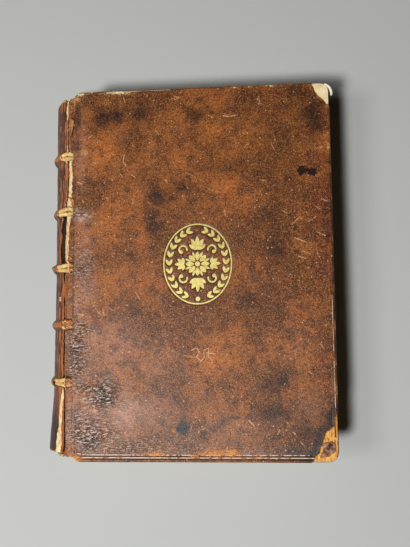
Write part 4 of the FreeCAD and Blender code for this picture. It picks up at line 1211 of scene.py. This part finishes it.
def front_calf():
    """Mottled brown calf, worn orange, stained dark, scuffed and torn at its edges, with painted highlights
    (a pink sheen, glare on the crinkled folds, pale lines along the tooled lines) and painted shade (in the
    fold troughs, in the tooled grooves at the tail and round the gold).
    """
    s = Shader("front_calf", 0.45, 0.5)
    large = s.noise(38, 4)
    middle = s.noise(8, 5, 0.62)
    small = s.noise(3.0, 4, 0.65)
    fine = s.noise(0.95, 3, 0.65)
    speck = s.noise(0.55, 2, 0.6)
    colour = s.mix(s.step(large, 0.4, 0.62), (104, 58, 28), (154, 88, 40))
    orange = s.marked("orange", middle, 0.45, 0.5)
    colour = s.over(colour, (196, 112, 48), orange, 0.85)
    red = s.marked("red", middle, 0.4, 0.45)
    colour = s.over(colour, (96, 34, 24), red, 0.65)
    # Painted pinkish sheen, mixed with pink tone of the leather itself
    pink_and_sheen = s.marked("pink_and_sheen", middle, 0.4, 0.45)
    colour = s.over(colour, (178, 120, 94), pink_and_sheen, 0.6)
    colour = s.over(colour, (66, 35, 19), s.step(middle, 0.44, 0.66), 0.75)
    grain = s.plus(s.times(small, 0.22), s.times(fine, 0.78))
    stain = s.step(s.read("dark"), 0.06, 0.85)
    shade = s.times(stain, s.plus(0.65, s.times(s.step(middle, 0.36, 0.56), 0.5)), True)
    colour = s.over(colour, (46, 22, 11), s.step(grain, 0.49, 0.61), 0.66)
    colour = s.over(colour, (200, 124, 68), s.step(grain, 0.47, 0.38), 0.36)
    colour = s.over(colour, (218, 158, 106), s.step(speck, 0.57, 0.65), 0.6)
    colour = s.over(colour, (20, 12, 9), s.step(s.noise(0.5, 2), 0.58, 0.66), 0.65)
    speckled = s.plus(0.62, s.times(s.step(grain, 0.43, 0.57), 0.38))
    colour = s.over(colour, (38, 26, 22), s.times(shade, speckled), 0.9)
    soaked = s.marked("tear_stain", grain, 0.3, 0.5)
    colour = s.over(colour, (34, 31, 32), soaked, 0.7)
    fold = s.noise(1.15, 3, 0.6, (2.4, 0.75, 1), 0.9)
    crinkle = s.read("crinkle")
    # Painted highlight on the crests of the crinkled folds, then painted shade in their troughs
    colour = s.over(colour, (236, 214, 200), s.times(crinkle, s.step(fold, 0.5, 0.6)), 0.85)
    colour = s.over(colour, (48, 28, 22), s.times(s.step(crinkle, 0.3, 0.9), s.step(fold, 0.46, 0.38)), 0.5)
    pocks = s.minus(1.0, s.step(s.cells(3.8), 0.07, 0.16))
    pocks = s.times(pocks, s.step(s.noise(12, 2), 0.44, 0.56))
    colour = s.over(colour, (224, 172, 122), pocks, 0.85)
    # Painted shade round the gold, in the tooling's impression
    colour = s.over(colour, (66, 28, 14), s.read("gold_rim_shade"), 0.6)
    ink = s.marked("ink", fine, 0.12, 0.42)
    colour = s.over(colour, (26, 16, 16), ink, 0.92)
    blue = s.marked("blue", fine, 0.2, 0.42)
    colour = s.over(colour, (26, 28, 36), blue, 0.9)
    # Dark scratches, with painted shade in the tooled grooves at the tail
    dark_lines = s.times(s.strokes(DARK_SCRATCHES_AND_GROOVE_SHADE), s.step(small, 0.3, 0.5))
    colour = s.over(colour, (40, 18, 14), dark_lines, 0.7)
    worn_grain = s.step(s.plus(s.times(fine, 0.5), s.times(speck, 0.5)), 0.38, 0.62)
    scuff = s.marked("scuff", worn_grain, 0.12, 0.6)
    colour = s.over(colour, (204, 150, 96), scuff, 0.8)
    lines = s.times(s.strokes(PALE_SCRATCHES), s.step(fine, 0.38, 0.5))
    # Painted highlights along the tooled lines, broken up by noise
    fillet_highlights_and_wear = s.times(s.strokes(FILLET_HIGHLIGHTS_AND_WEAR), s.step(small, 0.4, 0.5))
    colour = s.over(colour, (230, 208, 184), fillet_highlights_and_wear, 0.8)
    colour = s.over(colour, (236, 184, 132), lines, 0.78)
    bare = s.marked("bare", worn_grain, 0.12, 0.55)
    pale_end = s.step(s.part(s.place, "Y"), 0.0, 0.01)
    worn_tone = s.mix(pale_end, (226, 150, 82), (240, 214, 160))
    colour = s.mix(s.times(bare, 0.9), colour, worn_tone)
    torn = s.marked("torn", fine, 0.15, 0.85)
    colour = s.over(colour, (158, 100, 54), torn)
    fibre = s.mix(s.step(s.noise(1.3, 3, 0.6, (1, 3, 1)), 0.35, 0.65), (206, 146, 88), (238, 216, 168))
    colour = s.mix(s.step(s.read("raw"), 0.35, 0.65), colour, fibre)
    flesh = s.step(s.read("flesh"), 0.4, 0.6)
    colour = s.over(colour, (88, 70, 38), flesh)
    s.bump(speck, 0.1, 0.8)
    s.bump(s.minus(fine, s.times(s.math("MAXIMUM", scuff, bare), 0.6)), 0.22, 0.8)
    s.bump(s.times(fold, crinkle), 1.6, 1.0)
    s.bump(small, 0.2, 0.35)
    s.bump(middle, 0.35, 0.4)
    worn = s.math("MAXIMUM", s.math("MAXIMUM", scuff, bare), torn)
    shine = s.plus(s.plus(0.2, s.times(s.read("pink_and_sheen"), 0.15)), s.times(crinkle, 0.6))
    s.put(s.surface.inputs["Specular IOR Level"], shine)
    gloss = s.minus(s.plus(0.28, s.times(middle, 0.16)), s.times(crinkle, 0.12))
    gloss = s.plus(gloss, s.times(worn, 0.4), True)
    return s.finish(colour, gloss)


def plain_calf(name, light, deep):
    """Calf without the front cover's own marks, for the spine, joints and rear cover."""
    s = Shader(name, 0.48, 0.4)
    large, middle, fine = s.noise(26, 4), s.noise(7, 5, 0.6), s.noise(1.8, 4, 0.65)
    colour = s.mix(s.step(large, 0.3, 0.7), deep, light)
    colour = s.over(colour, (50, 26, 18), s.step(fine, 0.45, 0.7), 0.5)
    colour = s.over(colour, (192, 116, 64), s.marked("orange", fine, 0.3, 0.5), 0.7)
    colour = s.over(colour, (40, 27, 25), s.marked("dark", middle, 0.3, 0.5), 0.85)
    colour = s.over(colour, (196, 128, 80), s.marked("scuff", fine, 0.2, 0.5), 0.8)
    torn = s.marked("torn", s.noise(2.4, 4), 0.2, 0.7)
    colour = s.over(colour, (176, 98, 50), torn, 0.8)
    fibre = s.mix(s.step(s.noise(1.2, 3, 0.6, (1, 3, 1)), 0.35, 0.65), (214, 164, 104), (242, 226, 180))
    colour = s.mix(s.step(s.read("raw"), 0.35, 0.65), colour, fibre)
    colour = s.over(colour, (186, 146, 100), s.step(s.read("flesh"), 0.4, 0.6))
    s.bump(fine, 0.14, 0.6)
    s.bump(middle, 0.3, 0.5)
    return s.finish(colour, s.plus(s.plus(0.38, s.times(middle, 0.2)), s.times(torn, 0.3)))


def pages_material():
    s = Shader("page_edges", 0.85, 0.2)
    leaves = s.noise(0.16, 2, 0.5, (60, 60, 1))
    large = s.noise(20, 4)
    colour = s.mix(s.step(large, 0.3, 0.7), (176, 148, 104), (202, 178, 132))
    colour = s.over(colour, (132, 100, 62), s.step(leaves, 0.4, 0.62), 0.55)
    colour = s.over(colour, (120, 88, 52), s.step(s.noise(6, 5, 0.7), 0.56, 0.74), 0.35)
    upright = s.part(s.node("ShaderNodeNewGeometry").outputs["True Normal"], "Z")
    face = s.step(s.math("ABSOLUTE", upright), 0.8, 0.95)
    leaf = s.mix(s.step(s.noise(40, 4), 0.3, 0.75), (222, 208, 174), (204, 184, 144))
    leaf = s.over(leaf, (160, 124, 80), s.step(s.noise(1.6, 3), 0.66, 0.72), 0.4)
    s.bump(s.times(leaves, s.minus(1.0, face)), 0.12, 0.8)
    return s.finish(s.mix(face, colour, leaf))


def cord_material():
    s = Shader("hemp_cord", 0.9, 0.15)
    fine = s.noise(0.5, 3, 0.6, (2, 1, 1))
    colour = s.mix(s.step(s.noise(3, 4), 0.35, 0.65), (214, 170, 100), (240, 214, 150))
    colour = s.over(colour, (150, 98, 50), s.step(fine, 0.45, 0.65), 0.5)
    s.bump(fine, 0.15, 0.8)
    return s.finish(colour)


def plain(name, light, deep, roughness, size=8, grain=0.5, relief=0.1):
    """A quiet two-toned material with a fine grain."""
    s = Shader(name, roughness, 0.3)
    fine = s.noise(grain, 3, 0.6)
    colour = s.mix(s.step(s.noise(size, 4), 0.3, 0.7), deep, light)
    colour = s.over(colour, tuple(c * 0.7 for c in deep), s.step(fine, 0.45, 0.7), 0.3)
    s.bump(fine, relief, 0.6)
    return s.finish(colour)


def gold_material():
    s = Shader("gold_leaf", 0.38, 0.5)
    fine, middle = s.noise(0.5, 3, 0.6), s.noise(2.2, 4, 0.6)
    colour = s.mix(s.step(middle, 0.3, 0.7), (206, 182, 94), (246, 230, 146))
    worn = s.step(s.plus(s.times(fine, 0.6), s.times(middle, 0.4)), 0.56, 0.64)
    colour = s.over(colour, (112, 70, 34), worn, 0.75)
    s.bump(fine, 0.06, 0.5)
    s.put(s.surface.inputs["Metallic"], s.times(s.minus(1.0, worn), 0.35))
    return s.finish(colour)


def board_material():
    """Pasteboard: pale at the head of the book, and stained golden at its tail."""
    s = Shader("pasteboard", 0.9, 0.2)
    tail = s.step(s.part(s.place, "Y"), 0.02, -0.02)
    streaks = s.noise(0.8, 3, 0.6, (1, 7, 1))
    rim = s.read("rim")
    pale = s.mix(s.step(s.noise(4, 4), 0.35, 0.65), (232, 204, 150), (244, 226, 178))
    pale = s.over(pale, (250, 244, 226), rim, 0.8)
    pale = s.over(pale, (190, 140, 80), s.step(s.noise(1.0, 3), 0.6, 0.7), 0.4)
    golden = s.mix(s.step(streaks, 0.35, 0.65), (206, 128, 50), (240, 190, 106))
    golden = s.over(golden, (220, 134, 66), rim, 0.7)
    golden = s.over(golden, (140, 76, 30), s.step(s.noise(1.6, 4, 0.6, (1, 3, 1)), 0.56, 0.66), 0.7)
    slit = s.strokes(BOARD_SLITS)
    golden = s.over(golden, (50, 24, 14), slit)
    s.bump(s.noise(1.2, 4, 0.7), 0.3, 0.8)
    return s.finish(s.mix(tail, pale, golden))


def dress(pieces, material):
    for piece in pieces:
        piece.data.materials.clear()
        piece.data.materials.append(material)
        for polygon in piece.data.polygons:
            polygon.material_index = 0


def add_light(name, place, target, size, power):
    light = bpy.data.lights.new(name, "AREA")
    light.shape = "SQUARE"
    light.size = size
    light.energy = power
    lamp = bpy.data.objects.new(name, light)
    lamp.location = place
    lamp.rotation_euler = (Vector(target) - Vector(place)).to_track_quat("-Z", "Y").to_euler()
    bpy.context.scene.collection.objects.link(lamp)


def make_stage():
    """A plain pale floor, soft light from the upper left, and the photo's camera."""
    r = FLOOR_REACH
    floor = make_piece("floor", [(-r, -r, 0), (r, -r, 0), (r, r, 0), (-r, r, 0)], [[0, 1, 2, 3]])
    dress([floor], Shader("floor", 0.9, 0.1).finish(tone(FLOOR_TONE)))
    add_light("key", *KEY_LIGHT)
    add_light("fill", *FILL_LIGHT)
    world = bpy.data.worlds.new("room")
    world.use_nodes = True
    world.node_tree.nodes["Background"].inputs["Color"].default_value = ROOM_COLOUR
    world.node_tree.nodes["Background"].inputs["Strength"].default_value = ROOM_STRENGTH
    bpy.context.scene.world = world
    camera = bpy.data.cameras.new("photo")
    camera.lens = CAMERA_LENS
    camera.sensor_width = CAMERA_SENSOR
    turn = Vector([math.radians(t) for t in CAMERA_TURN])
    seat = bpy.data.objects.new("photo", camera)
    turned = Matrix.Rotation(turn.length, 4, turn.normalized())
    seat.matrix_world = Matrix.Translation(Vector(CAMERA_PLACE) * MM) @ turned
    bpy.context.scene.collection.objects.link(seat)
    bpy.context.scene.camera = seat
    bpy.context.scene.view_settings.view_transform = "Standard"


def main():
    front = make_front_leather()
    rear = make_rear_leather()
    strips = make_front_strips()
    band_leather = make_band_leather()
    flaps = [make_flap(*flap) for flap in FLAPS] + [make_remnant()]
    corners = [make_corner_board(*board) for board in CORNER_BOARDS] + [make_splinter()]
    spine = make_spine_leather()
    rear_joint = make_rear_joint()
    cords = make_cords()
    headband = make_endband("headband_thread", "headband", BLOCK_END + ENDBAND_OUT)
    tailband = make_endband("tailband_thread", "tailband", -BLOCK_END - ENDBAND_OUT)
    pages = make_pages()
    dress([front] + strips + band_leather + flaps, front_calf())
    dress([rear_joint], plain_calf("joint_calf", (120, 70, 44), (74, 42, 32)))
    dress([spine], plain_calf("spine_calf", (118, 72, 44), (66, 42, 32)))
    dress([rear], plain_calf("rear_calf", (140, 84, 48), (104, 58, 34)))
    dress(cords + [NODES[f"rear_slip_{number}"] for number in range(1, 6)], cord_material())
    dress([headband, tailband], plain("endband_thread", (206, 184, 140), (170, 140, 96), 0.85, 2))
    dress([pages], pages_material())
    paper = plain("endpaper", (224, 208, 172), (206, 184, 142), 0.8, 30, 0.6, 0.04)
    dress([NODES["front_pastedown"], NODES["rear_pastedown"]], paper)
    dress(corners + [NODES["front_board"], NODES["rear_board"]], board_material())
    # The spine's lining shows only in the deep crack at the joint: its dark brown is painted shade
    lining = plain("lining_painted_shade", (58, 38, 26), (26, 17, 13), 0.9, 6, 0.8, 0.2)
    dress([NODES[f"spine_lining_{number}"] for number in range(1, 7)], lining)
    dress([NODES["gilt_oval"]], gold_material())
    make_stage()


main()
